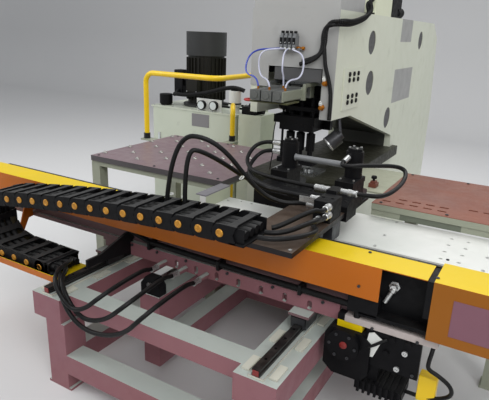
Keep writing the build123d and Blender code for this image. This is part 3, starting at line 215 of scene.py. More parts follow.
def make_paints():
    """Paints of the frames, covers and tables, with the bare or darker fields on them; some darker fields are
    painted shade and some tops are painted lit.
    """
    s = shades
    side = ("X", 0.2495, 0.26)
    recess = ("X", 0.745, 1.019)
    feet = ("Z", 0.84, 0.893)
    coat("cream_paint", s["cream"], 0.42, patch=1.6, change=0.22, clear=0.15, zones=[
        # Painted shade: the inside of the throat between the side plates is painted dark.
        ([("X", -0.2052, 0.2052), ("Y", 0.1, 2.5)], tint(54, 55, 49)),
        ([side, ("Y", 0.995, 1.51), ("Z", 1.195, 1.432)], s["bare_field"]),
        ([side, ("Y", 1.046, 1.351), ("Z", 1.621, 1.78)], s["bare_field"])])
    coat("cover_paint", s["cover"], 0.42, patch=1.8, change=0.2, clear=0.15)
    coat("cabinet_paint", s["cover"], 0.45, patch=2.0, change=0.2, grain=700.0,
         zones=[([("Y", 0.39, 0.80)], tint(222, 226, 200))])
    # Painted light: shaded pink on the sides, the lit highlight colour on the tops, and a thin pale band at
    # 0.47 to 0.48 m as a painted highlight along an edge.
    coat("pink_paint", s["pink"], 0.5, other=tint(142, 95, 98), patch=2.4, change=0.7, dust=0.1, shine=0.3,
         upper=s["pink_highlight"], zones=[([("Z", 0.4705, 0.4785)], tint(204, 204, 190))])
    # Painted light: the beam is a darker, shaded copy of the pink paint, with the lit highlight colour on its
    # tops.
    coat("beam_pink", tint(116, 92, 96), 0.5, other=tint(120, 88, 86), patch=2.4, change=0.7, dust=0.08,
         shine=0.3, upper=s["pink_highlight"], zones=[
             # Painted shade: the recess in the beam's front is painted black, with a narrow band of the
             # highlight colour low in it.
             ([recess, ("Y", -1.10, -0.90), ("Z", 0.598, 0.84)], s["black"]),
             ([recess, ("Y", -1.0009, -0.9989), ("Z", 0.595, 0.62)], s["pink_highlight"]),
             ([("X", -0.4465, -0.4335), ("Y", -1.31, -0.99)], s["black"]),
             ([("Y", -0.9268, -0.87), ("Z", 0.80, 0.8305)], tint(50, 50, 50))])
    coat("yellow_paint", tint(240, 204, 14), 0.36, other=tint(226, 176, 4), patch=1.4, change=0.4, clear=0.1,
         dust=0.03, zones=[([("X", -1.40, -1.34), feet], s["black"]),
                           ([("X", -0.84, -0.77), feet], s["black"])])
    # Painted light: shaded orange on the covers' sides and fronts, the lit yellow on their tops.
    coat("cover_yellow", s["yellow_in_shade"], 0.36, other=tint(172, 88, 1), patch=1.4, change=0.5, clear=0.06,
         dust=0.0, shine=0.3, upper=s["yellow"],
         zones=[([("X", 1.0175, 1.56), ("Z", 0.5, 0.8485)], tint(150, 88, 1))])
    coat("table_red", s["rust_red"], 0.42, other=tint(112, 62, 48), patch=3.0, change=0.7, dust=0.07,
         zones=[([("Y", -0.33, -0.3165), ("Z", 0.80, 0.847)], s["beam_green"])])
    # Painted light: the left table's sides are a shaded grey, and its faces turned up are the lit dull red.
    coat("table_dull_red", tint(82, 78, 80), 0.38, other=tint(66, 64, 64), patch=2.2, change=0.5, dust=0.08,
         upper=s["dull_red"])
    coat("beam_green", s["beam_green"], 0.5, patch=3.0,
         # Painted shade: a darker strip on the front for the recessed slot there.
         zones=[([("X", 0.706, 0.995), ("Y", -0.32, -0.30)], tint(104, 110, 96))])
    # Painted shade: the lower jaw is the cream frame paint darkened to olive for the throat's shade, and
    # lighter beyond x 0.291 m where light reaches it.
    coat("jaw_paint", tint(44, 44, 33), 0.45, other=tint(30, 30, 24), patch=5.0, change=0.6, dust=0.05,
         shine=0.2, zones=[([("X", 0.291, 0.60)], tint(166, 168, 148))])
    coat("deck_white", s["deck"], 0.35, other=tint(206, 212, 204), patch=2.6, change=0.5, dust=0.06, zones=[
        ([("X", -0.2555, -0.1865), ("Z", 0.8375, 0.845)], tint(128, 126, 132)),
        ([("X", -0.1875, -0.1865), ("Z", 0.7755, 0.8375)], tint(190, 195, 170))])
    coat("motor_paint", s["motor"], 0.45, other=tint(44, 44, 45), patch=5.0, change=0.4, dust=0.04,
         shine=0.25, zones=[([("Z", 1.03, 1.441)], tint(27, 26, 21))])
    coat("tank_paint", s["tank"], 0.4, other=tint(182, 190, 170), patch=2.0, change=0.5, clear=0.2,
         zones=[([("Y", 0.80, 0.8195), ("X", -1.402, -1.221), ("Z", 0.86, 0.97)], tint(128, 126, 128))])
    coat("olive_paint", s["olive"], 0.45, other=tint(60, 58, 40), patch=7.0, change=0.7)
    # Dark grey for the panel in the head's window, and painted shade for the open holes in the side plates.
    coat("blank_grey", tint(81, 81, 82), 0.5, patch=9.0)
    coat("bare_plate", tint(126, 86, 98), 0.35, patch=9.0, dust=0.0, shine=0.3)
    coat("red_brown", tint(112, 58, 44), 0.45, patch=14.0)


def make_blacks():
    """Black paint, plastic and rubber, which shine little."""
    s = shades
    worn, plastic = s["worn_black"], tint(20, 20, 22)
    coat("drive_paint", s["black"], 0.5, other=worn, patch=6.0, change=0.6, dust=0.02, shine=0.12, zones=[
        ([("X", 0.675, 0.785), ("Y", -1.0455, -0.93), ("Z", 0.5505, 0.5795)], s["yellow"]),
        ([("X", 0.7075, 1.0625), ("Y", -1.0425, -0.89), ("Z", 0.5795, 0.607)], tint(186, 176, 172))])
    coat("fitting_paint", s["black"], 0.5, other=worn, patch=8.0, change=0.5, dust=0.03, shine=0.15, zones=[
        ([("X", -1.09, -0.95)], tint(224, 226, 222)),
        ([("X", -1.45, -1.10), ("Y", 0.8475, 0.857), ("Z", 0.99, 1.12)], tint(214, 216, 212))])
    coat("black_paint", s["black"], 0.5, other=worn, patch=6.0, change=0.6, dust=0.02, shine=0.15)
    coat("black_plastic", s["black"], 0.55, other=plastic, patch=8.0, change=0.5, dust=0.02, shine=0.15)
    # Painted sheen: the links' faces turned up are a lighter grey, a painted highlight on their tops.
    coat("chain_black", s["black"], 0.55, other=plastic, patch=8.0, change=0.5, dust=0.02, shine=0.15,
         upper=tint(58, 58, 58))
    coat("rubber", s["rubber"], 0.45, other=tint(19, 19, 20), patch=12.0, change=0.5, dust=0.02, shine=0.25)
    coat("conduit_black", tint(13, 13, 14), 0.42, patch=14.0, dust=0.02, shine=0.25)


def make_metals():
    """Ground, dark and plated metal."""
    s = shades
    drawn = (1, 0.15, 1)
    coat("ground_steel", s["steel"], 0.3, 1.0, patch=9.0, change=0.4, stretch=drawn)
    coat("rail_steel", tint(44, 43, 44), 0.35, 0.5, other=tint(30, 28, 28), patch=9.0, change=0.5,
         stretch=drawn)
    coat("dark_steel", s["dark_steel"], 0.42, 0.6, other=tint(52, 50, 50), patch=5.0, change=0.6)
    # Painted light: the carriage plate's faces turned up are a lit brown over its black sides.
    coat("plate_steel", tint(22, 19, 22), 0.42, 0.2, other=tint(34, 30, 30), patch=5.0, change=0.6, dust=0.05,
         shine=0.3, upper=tint(84, 70, 60))
    coat("gold_pin", s["gold"], 0.4, 0.35, other=tint(160, 104, 30), patch=60.0, change=0.7)
    coat("brass", s["brass"], 0.32, 0.9, patch=40.0)
    coat("silver", s["silver"], 0.3, 0.85, patch=40.0, dust=0.04)
    coat("ball_steel", tint(160, 158, 154), 0.3, 0.9, patch=50.0, dust=0.0, bump=0.0)
    coat("cylinder_grey", s["cylinder"], 0.42, 0.2, patch=12.0, stretch=(1, 0.2, 1), dust=0.05,
         zones=[([("X", 0.09, 0.13)], tint(146, 150, 134))])
    coat("valve_grey", tint(128, 130, 132), 0.4, 0.3, patch=14.0)


def make_plastics():
    """Coloured plastic, tubes, dials and glass."""
    coat("white_plastic", tint(224, 226, 222), 0.4, patch=16.0, dust=0.05)
    coat("red_plastic", tint(186, 26, 22), 0.34, patch=16.0, clear=0.3)
    coat("cap_red", tint(124, 30, 26), 0.4, patch=16.0)
    coat("blue_tube", tint(36, 60, 170), 0.28, patch=16.0, clear=0.4, dust=0.0)
    coat("clear_tube", tint(196, 198, 216), 0.25, patch=16.0, clear=0.4, dust=0.0)
    coat("dial_grey", tint(126, 126, 124), 0.35, patch=16.0, dust=0.05)
    coat("lamp_glass", tint(226, 228, 224), 0.12, patch=20.0, clear=0.8, dust=0.0)
    coat("clear_glass", tint(214, 222, 220), 0.06, patch=20.0, clear=0.8, dust=0.0)


dressing = {
    "cream_paint": ["press_frame"],
    "cover_paint": ["head_cover"],
    "cabinet_paint": ["top_cabinet"],
    "pink_paint": ["base_frame", "fitting_bar"],
    "beam_pink": ["saddle_beam"],
    "yellow_paint": ["handrail"],
    "cover_yellow": ["beam_covers", "chain_tray"],
    "table_red": ["right_table"],
    "table_dull_red": ["left_table"],
    "beam_green": ["table_frames"],
    "deck_white": ["saddle_deck"],
    "ground_steel": ["y_screw", "x_screw", "ram", "die_holder"],
    "rail_steel": ["y_rails", "x_rails"],
    "plate_steel": ["carriage_plate"],
    "dark_steel": ["y_bearings", "clamp_jaw_left", "clamp_jaw_right", "motor_rotor", "carriage_arm",
                   "work_lamp"],
    "black_paint": ["head_block", "manifold", "clamp_frame", "clamp_bodies", "y_drive", "frame_bolts",
                    "stand_valve", "top_valve", "stripper", "punch_left", "punch_middle", "punch_right"],
    "drive_paint": ["x_drive"],
    "jaw_paint": ["lower_jaw"],
    "fitting_paint": ["tank_fittings"],
    "black_plastic": ["drag_chain_upper", "drag_chain_loop", "drag_chain_lower"],
    "rubber": ["carriage_hoses", "saddle_hoses", "beam_hose", "power_hoses"],
    "conduit_black": ["head_conduit"],
    "silver": ["hose_fittings", "left_table_balls"],
    "tank_paint": ["oil_tank"],
    "motor_paint": ["pump_motor"],
    "red_plastic": ["handwheel"],
    "cylinder_grey": ["selector_cylinders", "selector_left", "selector_middle", "selector_right"],
    "valve_grey": ["valve_bank"],
    "clear_tube": ["air_tubes"],
}


# Making meshes

SMOOTH = math.radians(40)


def piece(mesh, name, finish, body=None, bevel=0.0):
    """A finished piece: smooth up to an angle, softly bevelled, riding on its body."""
    item = bpy.data.objects.new(name, mesh)
    bpy.context.scene.collection.objects.link(item)
    mesh.materials.clear()
    mesh.materials.append(finishes[finish])
    mesh.shade_smooth()
    mesh.set_sharp_from_angle(angle=SMOOTH)
    if bevel:
        rounding = item.modifiers.new("bevel", "BEVEL")
        rounding.width = bevel * MM
        rounding.segments = 2
        rounding.limit_method = "ANGLE"
        rounding.angle_limit = SMOOTH
    if body:
        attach(item, body)
    return item


class Solid:
    """Faces under construction, in millimetres."""

    def __init__(self):
        self.mesh = bmesh.new()

    def box(self, x, y, z):
        corners = [self.mesh.verts.new((a, b, c)) for a in x for b in y for c in z]
        for face in ((0, 1, 3, 2), (4, 6, 7, 5), (0, 4, 5, 1), (2, 3, 7, 6), (0, 2, 6, 4), (1, 5, 7, 3)):
            self.mesh.faces.new([corners[i] for i in face])
        return self

    def turned(self, base, axis, outline, sides=32):
        """A turned form. The outline gives radius and height from the base along the axis."""
        place = Matrix.Translation(Vector(base)) @ Vector(axis).to_track_quat("Z", "Y").to_matrix().to_4x4()
        rings = []
        for radius, height in outline:
            count = sides if radius > 0.001 else 1
            angles = [math.tau * i / sides for i in range(count)]
            ring = [Vector((radius * math.cos(a), radius * math.sin(a), height)) for a in angles]
            rings.append([self.mesh.verts.new(place @ point) for point in ring])
        for low, high in zip(rings, rings[1:]):
            for i in range(sides):
                around = [low[i % len(low)], low[(i + 1) % sides % len(low)],
                          high[(i + 1) % sides % len(high)], high[i % len(high)]]
                self.mesh.faces.new(list(dict.fromkeys(around)))
        return self

    def slab(self, outline, base, along, up, depth):
        """A flat outline given in two directions from the base, with a thickness across them."""
        along, up, base = Vector(along).normalized(), Vector(up).normalized(), Vector(base)
        across = along.cross(up) * depth
        near = [self.mesh.verts.new(base + along * a + up * b) for a, b in outline]
        far = [self.mesh.verts.new(v.co + across) for v in near]
        self.mesh.faces.new(near[::-1])
        self.mesh.faces.new(far)
        for i in range(len(near)):
            j = (i + 1) % len(near)
            self.mesh.faces.new((near[i], near[j], far[j], far[i]))
        return self

    def data(self, name):
        self.mesh.transform(Matrix.Scale(MM, 4))
        bmesh.ops.recalc_face_normals(self.mesh, faces=self.mesh.faces)
        mesh = bpy.data.meshes.new(name)
        self.mesh.to_mesh(mesh)
        self.mesh.free()
        return mesh

    def done(self, name, finish, body, bevel=0.0):
        return piece(self.data(name), name, finish, body, bevel)


def rod(radius, length):
    """Outline of a plain turned rod."""
    return [(0, 0), (radius, 0), (radius, length), (0, length)]


def disc(radius, thick, edge=0.6):
    """Outline of a turned disc with a small edge."""
    return [(0, 0), (radius, 0), (radius, thick - edge), (radius - edge, thick), (0, thick)]


# Geometry Nodes

class Tree(Nodes):
    """A Geometry Nodes tree with named sizes that ends in real meshes with a material."""

    def __init__(self, name, sizes):
        super().__init__(bpy.data.node_groups.new(name, "GeometryNodeTree"))
        self.tree.is_modifier = True
        face = self.tree.interface
        face.new_socket("Geometry", in_out="INPUT", socket_type="NodeSocketGeometry")
        face.new_socket("Geometry", in_out="OUTPUT", socket_type="NodeSocketGeometry")
        self.keys = {}
        for label, kind, value in list(sizes) + [("Material", "Material", None)]:
            socket = face.new_socket(label, in_out="INPUT", socket_type="NodeSocket" + kind)
            if value is not None:
                socket.default_value = value
            self.keys[label] = socket.identifier
        self.inputs = self.add("NodeGroupInput")

    def vector(self, x=0.0, y=0.0, z=0.0):
        return self.add("ShaderNodeCombineXYZ", {0: x, 1: y, 2: z})[0]

    def join(self, *parts):
        node = self.tree.nodes.new("GeometryNodeJoinGeometry")
        for part in parts:
            self.tree.links.new(part, node.inputs[0])
        return node.outputs[0]

    def spread(self, points, shape, scale=(1.0, 1.0, 1.0)):
        """The shape on every point, turned by the point's own angles."""
        turn = self.add("GeometryNodeInputNamedAttribute", {"Name": "turn"}, data_type="FLOAT_VECTOR")[0]
        return self.add("GeometryNodeInstanceOnPoints", {"Points": points, "Instance": shape,
                                                        "Rotation": turn, "Scale": scale})[0]

    def end(self, shape):
        real = self.add("GeometryNodeRealizeInstances", {"Geometry": shape})[0]
        values = {"Geometry": real, "Material": self.inputs["Material"]}
        ready = self.add("GeometryNodeSetMaterial", values)[0]
        self.tree.links.new(ready, self.tree.nodes.new("NodeGroupOutput").inputs[0])
        return self

    def grow(self, source, name, finish, body=None, **sizes):
        """Run the tree on a source object and keep the result as one plain piece."""
        bpy.context.scene.collection.objects.link(source)
        step = source.modifiers.new("nodes", "NODES")
        step.node_group = self.tree
        for label, value in sizes.items():
            step[self.keys[label.replace("_", " ").capitalize()]] = value
        step[self.keys["Material"]] = finishes[finish]
        graph = bpy.context.evaluated_depsgraph_get()
        mesh = bpy.data.meshes.new_from_object(source.evaluated_get(graph))
        source.modifiers.remove(step)
        bpy.data.objects.remove(source)
        mesh.name = name
        return piece(mesh, name, finish, body)


def spots(places, axis=UP, turns=None):
    """Points in millimetres, each with the angles that lay a shape's Z along the axis."""
    mesh = bpy.data.meshes.new("spots")
    mesh.from_pydata([Vector(p) * MM for p in places], [], [])
    field = mesh.attributes.new("turn", "FLOAT_VECTOR", "POINT")
    turn = Vector(axis).to_track_quat("Z", "Y").to_euler()
    for i, item in enumerate(field.data):
        item.vector = turns[i] if turns else turn
    return bpy.data.objects.new("spots", mesh)


def path(route):
    """A smooth line through the run of a hose or conduit, in millimetres."""
    curve = bpy.data.curves.new("path", "CURVE")
    curve.dimensions = "3D"
    line = curve.splines.new("NURBS")
    line.points.add(len(route) - 1)
    for point, place in zip(line.points, route):
        point.co = (*(Vector(place) * MM), 1.0)
    line.order_u = 3
    line.use_endpoint_u = True
    line.resolution_u = 24
    return bpy.data.objects.new("path", curve)


trees = {}


def screws(places, name, finish, body, radius, height, axis=UP):
    """Socket screws at chosen places, with sizes in millimetres."""
    return trees["screw"].grow(spots(places, axis), name, finish, body,
                               head_radius=radius * MM, head_height=height * MM)


def tube(route, name, finish, body=None, radius=10.0, rib=0.0, pitch=20.0, sides=20):
    """A tube through chosen points, plain or ribbed, with sizes in millimetres."""
    return trees["ribbed"].grow(path(route), name, finish, body, radius=radius * MM, rib=rib * MM,
                                pitch=pitch * MM, sides=sides)


def hose(route, name, body):
    """A rubber hose of 20 mm through chosen points."""
    return tube(route, name, "rubber", body, sides=18)


def screw_tree():
    tree = Tree("socket screw", [("Head radius", "Float", 0.006), ("Head height", "Float", 0.005),
                                 ("Socket", "Float", 0.5), ("Sides", "Int", 18)])
    i = tree.inputs
    body = tree.add("GeometryNodeMeshCylinder", {"Vertices": i["Sides"], "Radius": i["Head radius"],
                                                 "Depth": i["Head height"]})
    rim = tree.add("GeometryNodeExtrudeMesh", {"Mesh": body["Mesh"], "Selection": body["Top"],
                                               "Offset Scale": 0.0, "Individual": False})
    inner = tree.add("GeometryNodeScaleElements", {"Geometry": rim["Mesh"], "Selection": rim["Top"],
                                                   "Scale": i["Socket"]})
    depth = tree.maths("MULTIPLY", i["Head height"], -0.6)
    sunk = tree.add("GeometryNodeExtrudeMesh", {"Mesh": inner[0], "Selection": rim["Top"],
                                                "Individual": False, "Offset Scale": depth})
    lift = tree.vector(z=tree.maths("MULTIPLY", i["Head height"], 0.5))
    raised = tree.add("GeometryNodeTransform", {"Geometry": sunk["Mesh"], "Translation": lift})
    return tree.end(tree.spread(i["Geometry"], raised[0]))


def ball_tree():
    tree = Tree("ball transfer", [("Ball radius", "Float", 0.0105), ("Cup radius", "Float", 0.017),
                                  ("Cup height", "Float", 0.0045)])
    i = tree.inputs
    mouth = tree.maths("MULTIPLY", i["Cup radius"], 0.68)
    cup = tree.add("GeometryNodeMeshCone", {"Vertices": 24, "Radius Top": mouth, "Depth": i["Cup height"],
                                            "Radius Bottom": i["Cup radius"]})[0]
    neck = tree.maths("MULTIPLY", i["Cup radius"], 0.8)
    collar = tree.add("GeometryNodeMeshCylinder", {"Vertices": 24, "Radius": neck, "Depth": 0.013})[0]
    collar = tree.add("GeometryNodeTransform", {"Geometry": collar, "Translation": (0.0, 0.0, -0.0066)})[0]
    ball = tree.add("GeometryNodeMeshUVSphere", {"Segments": 24, "Rings": 14, "Radius": i["Ball radius"]})[0]
    centre = tree.vector(z=tree.maths("SUBTRACT", 0.012, i["Ball radius"]))
    ball = tree.add("GeometryNodeTransform", {"Geometry": ball, "Translation": centre})[0]
    return tree.end(tree.spread(i["Geometry"], tree.join(cup, collar, ball)))


def repeat_tree():
    tree = Tree("repeated piece", [("Piece", "Object", None), ("Scale", "Vector", (1.0, 1.0, 1.0))])
    i = tree.inputs
    shape = tree.add("GeometryNodeObjectInfo", {"Object": i["Piece"]})["Geometry"]
    return tree.end(tree.spread(i["Geometry"], shape, i["Scale"]))


def tube_tree():
    """A round skin along a line. Its width rises and falls once in every pitch, in four steps."""
    tree = Tree("ribbed tube", [("Radius", "Float", 0.02), ("Rib", "Float", 0.0025),
                                ("Pitch", "Float", 0.008), ("Sides", "Int", 20)])
    i = tree.inputs
    length = tree.maths("MULTIPLY", i["Pitch"], 0.25)
    line = tree.add("GeometryNodeResampleCurve", {"Curve": i["Geometry"], "Length": length}, mode="LENGTH")[0]
    step = tree.maths("MULTIPLY", tree.add("GeometryNodeInputIndex")[0], math.pi / 2)
    width = tree.maths("ADD", i["Radius"], tree.maths("MULTIPLY", tree.maths("SINE", step), i["Rib"]))
    ring = tree.add("GeometryNodeCurvePrimitiveCircle", {"Resolution": i["Sides"], "Radius": 1.0})[0]
    skin = tree.add("GeometryNodeCurveToMesh", {"Curve": line, "Profile Curve": ring, "Scale": width,
                                                "Fill Caps": True})
    return tree.end(skin[0])


class MACHINE_OT_finishes(bpy.types.Operator):
    """Make the finishes and put one on every part of the frame"""
    bl_idname = "machine.finishes"
    bl_label = "Finishes"

    def execute(self, context):
        for make in (make_paints, make_blacks, make_metals, make_plastics):
            make()
        trees.update(screw=screw_tree(), ball=ball_tree(), repeat=repeat_tree(), ribbed=tube_tree())
        for finish, names in dressing.items():
            for name in names:
                mesh = nodes[name].data
                mesh.materials.clear()
                mesh.materials.append(finishes[finish])
        return {"FINISHED"}


# Tables and drag chain

def limits(node):
    """The two opposite corners of a part of the frame, in millimetres."""
    return [[value / MM for value in corner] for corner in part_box(node)]


class MACHINE_OT_tables(bpy.types.Operator):
    """Ball transfers on the left table, slot backing, corner screws on both tables and the plate stop"""
    bl_idname = "machine.tables"
    bl_label = "Tables"

    def execute(self, context):
        sizes = context.scene.machine_sizes
        row_step, ball_step = 141, 238
        (left, near, _), (_, far, top) = limits("left_table")
        middle = (near + far) / 2 + 13
        places = []
        for row in range(7):
            count = 4 - row % 2
            places += [(left + 27 + row * row_step, middle + (i - (count - 1) / 2) * ball_step, top + 2)
                       for i in range(count)]
        balls = trees["ball"].grow(spots(places), "ball_transfers", "ball_steel", "machine",
                                   ball_radius=sizes.ball, cup_radius=sizes.cup)
        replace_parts(balls, "left_table_balls")
        corners = []
        for table, inset in (("left_table", 46), ("right_table", 40)):
            (left, near, _), (right, far, _) = limits(table)
            corners += [(x, y, top + 1.2) for x in (left + inset, (left + right) / 2, right - inset)
                        for y in (near + 26, far - 26)]
        screws(corners, "table_screws", "dark_steel", "machine", 8, 2.8)
        Solid().box((590, 1110), (-275, -120), (836, 841)).done("slot_backing", "black_paint", "machine")
        stop = Solid().box((455, 497), (-52, 6), (848, 872)).box((462, 490), (-46, -6), (872, 884))
        stop.done("plate_stop", "red_brown", "machine", 2.0)
        knob = [(0, 0), (6, 0), (6, 10), (15, 12), (16, 20), (13, 27), (0, 29)]
        Solid().turned((476, -26, 884), UP, knob).done("stop_knob", "black_plastic", "machine")
        return {"FINISHED"}


CHAIN_PITCH, CHAIN_HEIGHT, CHAIN_WIDTH, CHAIN_SIDE = 95.2, 72.0, 190.0, 9.0
CHAIN_FRONT = -1320.0
BEND_RADIUS = 147


def chain_link():
    """One chain link: two profiled side plates joined by two bars, with its length of the hoses inside."""
    pitch, width, side = CHAIN_PITCH, CHAIN_WIDTH, CHAIN_SIDE
    r = CHAIN_HEIGHT / 2
    outline = [(0, r), (pitch - 24, r), (pitch - r - 3.7, 0), (pitch - 24, -r), (0, -r)]
    outline += [(-r * math.cos(a), r * math.sin(a)) for a in (math.radians(t) for t in range(-75, 76, 15))]
    link = Solid()
    for y in (0, width - side):
        link.slab(outline, (0, y + side, 0), RIGHT, UP, side)
    for z in (r - 5, 5 - r):
        link.box((pitch / 2 - 18, pitch / 2 + 14), (side, width - side), (z - 4, z + 4))
        for y in (side, width - side - 14):
            link.box((pitch / 2 - 22, pitch / 2 + 18), (y, y + 14), (z - 5, z + 5))
    for y in (36, 74, 112, 150):
        link.turned((-3, y, 0), RIGHT, rod(17, pitch + 3), 12)
    return link.data("link")


def chain_pins():
    """The two pin heads of one link, one on each outer face."""
    head = [(0, -1), (16, -1), (16, 2.5), (14, 4.5), (9, 4.5), (8, 3.4), (0, 3.4)]
    pins = Solid()
    for y, way in ((0, FRONT), (CHAIN_WIDTH, REAR)):
        pins.turned((0, y, 0), way, head, 20)
    return pins.data("pins")


def chain_runs():
    """For each run of the chain the links' two ends, as pairs of (x, z)."""
    pitch, last = CHAIN_PITCH, 14
    level = 910 + CHAIN_HEIGHT / 2
    run = [(292 - pitch * k, level - 126 * (0.3 * k / last + 0.7 * (k / last) ** 2)) for k in range(last + 1)]
    angles = [math.radians(86.5 + 37.8 * k) for k in range(6)]
    x = run[-1][0] - BEND_RADIUS * math.cos(angles[0])
    z = run[-1][1] - BEND_RADIUS * math.sin(angles[0])
    bend = [(x + BEND_RADIUS * math.cos(a), z + BEND_RADIUS * math.sin(a)) for a in angles]
    low = [bend[-1], (-941, 527), (-846, 525), (-751, 523)]
    return {"upper": list(zip(run[1:], run)) + [(run[0], (run[0][0] + pitch, run[0][1]))],
            "loop": list(zip(bend[1:], bend)),
            "lower": list(zip(low[1:], low)) + [(low[-1], (low[-1][0] + pitch, low[-1][1] - 1))]}


def chain_ends():
    """Shoes that hold the chain on the carriage and in its tray."""
    front, back, side = CHAIN_FRONT, CHAIN_FRONT + CHAIN_WIDTH, CHAIN_SIDE
    shoe = Solid().box((332, 396), (front, back), (910, 918))
    for y in (front + side, back - side - 5):
        shoe.box((336, 392), (y, y + 5), (918, 974))
    shoe.done("chain_moving_end", "black_paint", "carriage", 1.0)
    shoe = Solid().box((-731, -689), (front, back), (487, 495)).box((-713, -693), (front, back), (551, 559))
    for y in (front, back - side):
        shoe.box((-714, -689), (y, y + side), (495, 551))
    shoe.done("chain_fixed_end", "black_paint", "saddle", 1.0)


class MACHINE_OT_chain(bpy.types.Operator):
    """Links of the drag chain with their bright pins, on its two runs and its bend"""
    bl_idname = "machine.chain"
    bl_label = "Drag chain"

    def execute(self, context):
        link = bpy.data.objects.new("link", chain_link())
        pins = bpy.data.objects.new("pins", chain_pins())
        for item in (link, pins):
            context.scene.collection.objects.link(item)
        for name, pairs in chain_runs().items():
            places = [(a[0], CHAIN_FRONT, a[1]) for a, b in pairs]
            turns = [(0, -math.atan2(b[1] - a[1], b[0] - a[0]), 0) for a, b in pairs]
            body = "chain_loop" if name == "loop" else None
            made = []
            for kind, finish, shape in (("_links", "chain_black", link), ("_pins", "gold_pin", pins)):
                source = spots(places, turns=turns)
                made.append(trees["repeat"].grow(source, "chain_" + name + kind, finish, body, piece=shape))
            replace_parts(made[0], "drag_chain_" + name)
            if name == "upper":
                for item in made:
                    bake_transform(item)
            if name == "lower":
                for item in made:
                    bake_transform(item)
        for item in (link, pins):
            bpy.data.objects.remove(item)
        chain_ends()
        return {"FINISHED"}


# Press head

VALVE_Y, VALVE_Z = -226, 1574
CYLINDER_TOP = 1373

air_runs = {
    "blue": ("blue_tube", [(-49, VALVE_Y, VALVE_Z), (-49, -266, VALVE_Z), (-190, -306, 1560),
                           (-200, -356, 1440), (-76, -410, 1430), (-76, -410, CYLINDER_TOP)]),
    "clear_left": ("clear_tube", [(-24, VALVE_Y, VALVE_Z), (-24, -281, VALVE_Z), (-130, -321, 1560),
                                  (-120, -330, 1430), (-10, -410, 1420), (-10, -410, CYLINDER_TOP)]),
    "clear_middle": ("clear_tube", [(1, VALVE_Y, VALVE_Z), (1, -286, VALVE_Z), (10, -320, 1470),
                                    (10, -290, 1430), (10, -290, CYLINDER_TOP)]),
    "clear_right": ("clear_tube", [(26, VALVE_Y, VALVE_Z), (26, -266, VALVE_Z), (120, -286, 1550),
                                   (120, -300, 1430), (76, -400, 1425), (76, -400, CYLINDER_TOP)]),
}


def conduits(radius):
    """Two ribbed conduits side by side along the head and one that drops at its side."""
    main = [(220, 400, 1850), (220, 330, 1850), (282, 230, 1768), (288, -70, 1712), (286, -250, 1712),
            (190, -224, 1700), (194, -216, 1570), (130, -212, 1520), (68, -212, 1506)]
    for side, name in ((-1, "conduit_low"), (1, "conduit_high")):
        route = [(x + 7 * side, y, z + 8 * side) for x, y, z in main]
        conduit = tube(route, name, "conduit_black", "machine", radius, 1.2, 8.5)
        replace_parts(conduit, "head_conduit")
    drop = [(193, -220, 1610), (199, -215, 1550), (206, -208, 1490), (222, -200, 1440), (240, -196, 1375),
            (246, -195, 1300), (245, -195, 1218)]
    conduit = tube(drop, "conduit_drop", "conduit_black", "machine", 10.5, 0.8, 7.5)
    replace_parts(conduit, "head_conduit")


def air_lines():
    """Four air tubes from the valves to the selector cylinders, each into a fitting."""
    nozzle = [(0, 0), (7, 0), (7, 4), (5.5, 4), (5.5, 14), (4, 15), (0, 15)]
    fittings = Solid()
    for name, (finish, route) in air_runs.items():
        line = tube(route, "air_" + name, finish, radius=4.5, sides=12)
        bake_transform(line)
        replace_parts(line, "air_tubes")
        x, y, z = route[-1]
        fittings.turned((x, y, z - 1), UP, nozzle, 16)
    fittings.done("air_fittings", "brass", "ram")


def valve_details():
    """Elbow, coil and override button of each of the four valves, and the port at their end."""
    elbow = [(0, 0), (6.5, 0), (6.5, 8), (5, 9), (5, 16), (0, 16)]
    elbows, coils, plugs = Solid(), Solid(), Solid()
    for x in (-49, -24, 1, 26):
        elbows.turned((x, VALVE_Y + 3, VALVE_Z), FRONT, elbow, 16)
        coils.box((x - 8, x + 8), (-232, -224), (1596, 1630))
        coils.box((x - 5, x + 5), (-222, -200), (1652, 1664))
        plugs.turned((x, -233, 1604), FRONT, disc(3.5, 3), 14)
    elbows.done("valve_elbows", "white_plastic", "machine")
    coils.done("valve_coils", "black_plastic", "machine", 1.5)
    plugs.done("valve_overrides", "silver", "machine")
    port = [(0, 0), (10, 0), (10, 12), (7, 13), (7, 30), (11, 31), (11, 42), (6, 44), (0, 44)]
    Solid().turned((34, -200, 1578), RIGHT, port, 6).done("valve_port", "brass", "machine", 0.8)


def glands():
    """Brass glands at the side of the head with their nuts, and the lead of a sensor."""
    hexagon = [(0, 0), (17, 0), (17, 14), (12, 15), (12, 30), (0, 30)]
    nut = [(0, 0), (10, 0), (10, 12), (5, 15), (5, 22), (0, 22)]
    hexagons, nuts = Solid(), Solid()
    for x, z in ((205, 1407), (196, 1279)):
        hexagons.turned((x, -184, z), FRONT, hexagon, 6)
        nuts.turned((x - 4, -199, z + 14), (0, -0.4, 1), nut, 16)
    hexagons.done("brass_glands", "brass", "machine", 1.2)
    nuts.done("gland_nuts", "white_plastic", "machine")
    lead = [(-135, -72, 1150), (-138, -95, 1080), (-132, -96, 960), (-150, -84, 900), (-152, -84, 859)]
    tube(lead, "sensor_lead", "rubber", "machine", 3.2, sides=10)


def lamp_face():
    """Ring and glass of the work lamp, which looks down at the punches."""
    aim = Vector((-0.62, -0.45, -0.64)).normalized()
    base = Vector((196, -40, 1056)) - aim
    ring = [(37, 0), (45, 0), (45, 7), (42, 9), (38, 7), (37, 0)]
    Solid().turned(base, aim, ring, 40).done("lamp_ring", "silver", "machine")
    lens = [(0, 0), (38, 0), (38, 3), (26, 6), (0, 8)]
    Solid().turned(base, aim, lens, 40).done("lamp_lens", "lamp_glass", "machine")


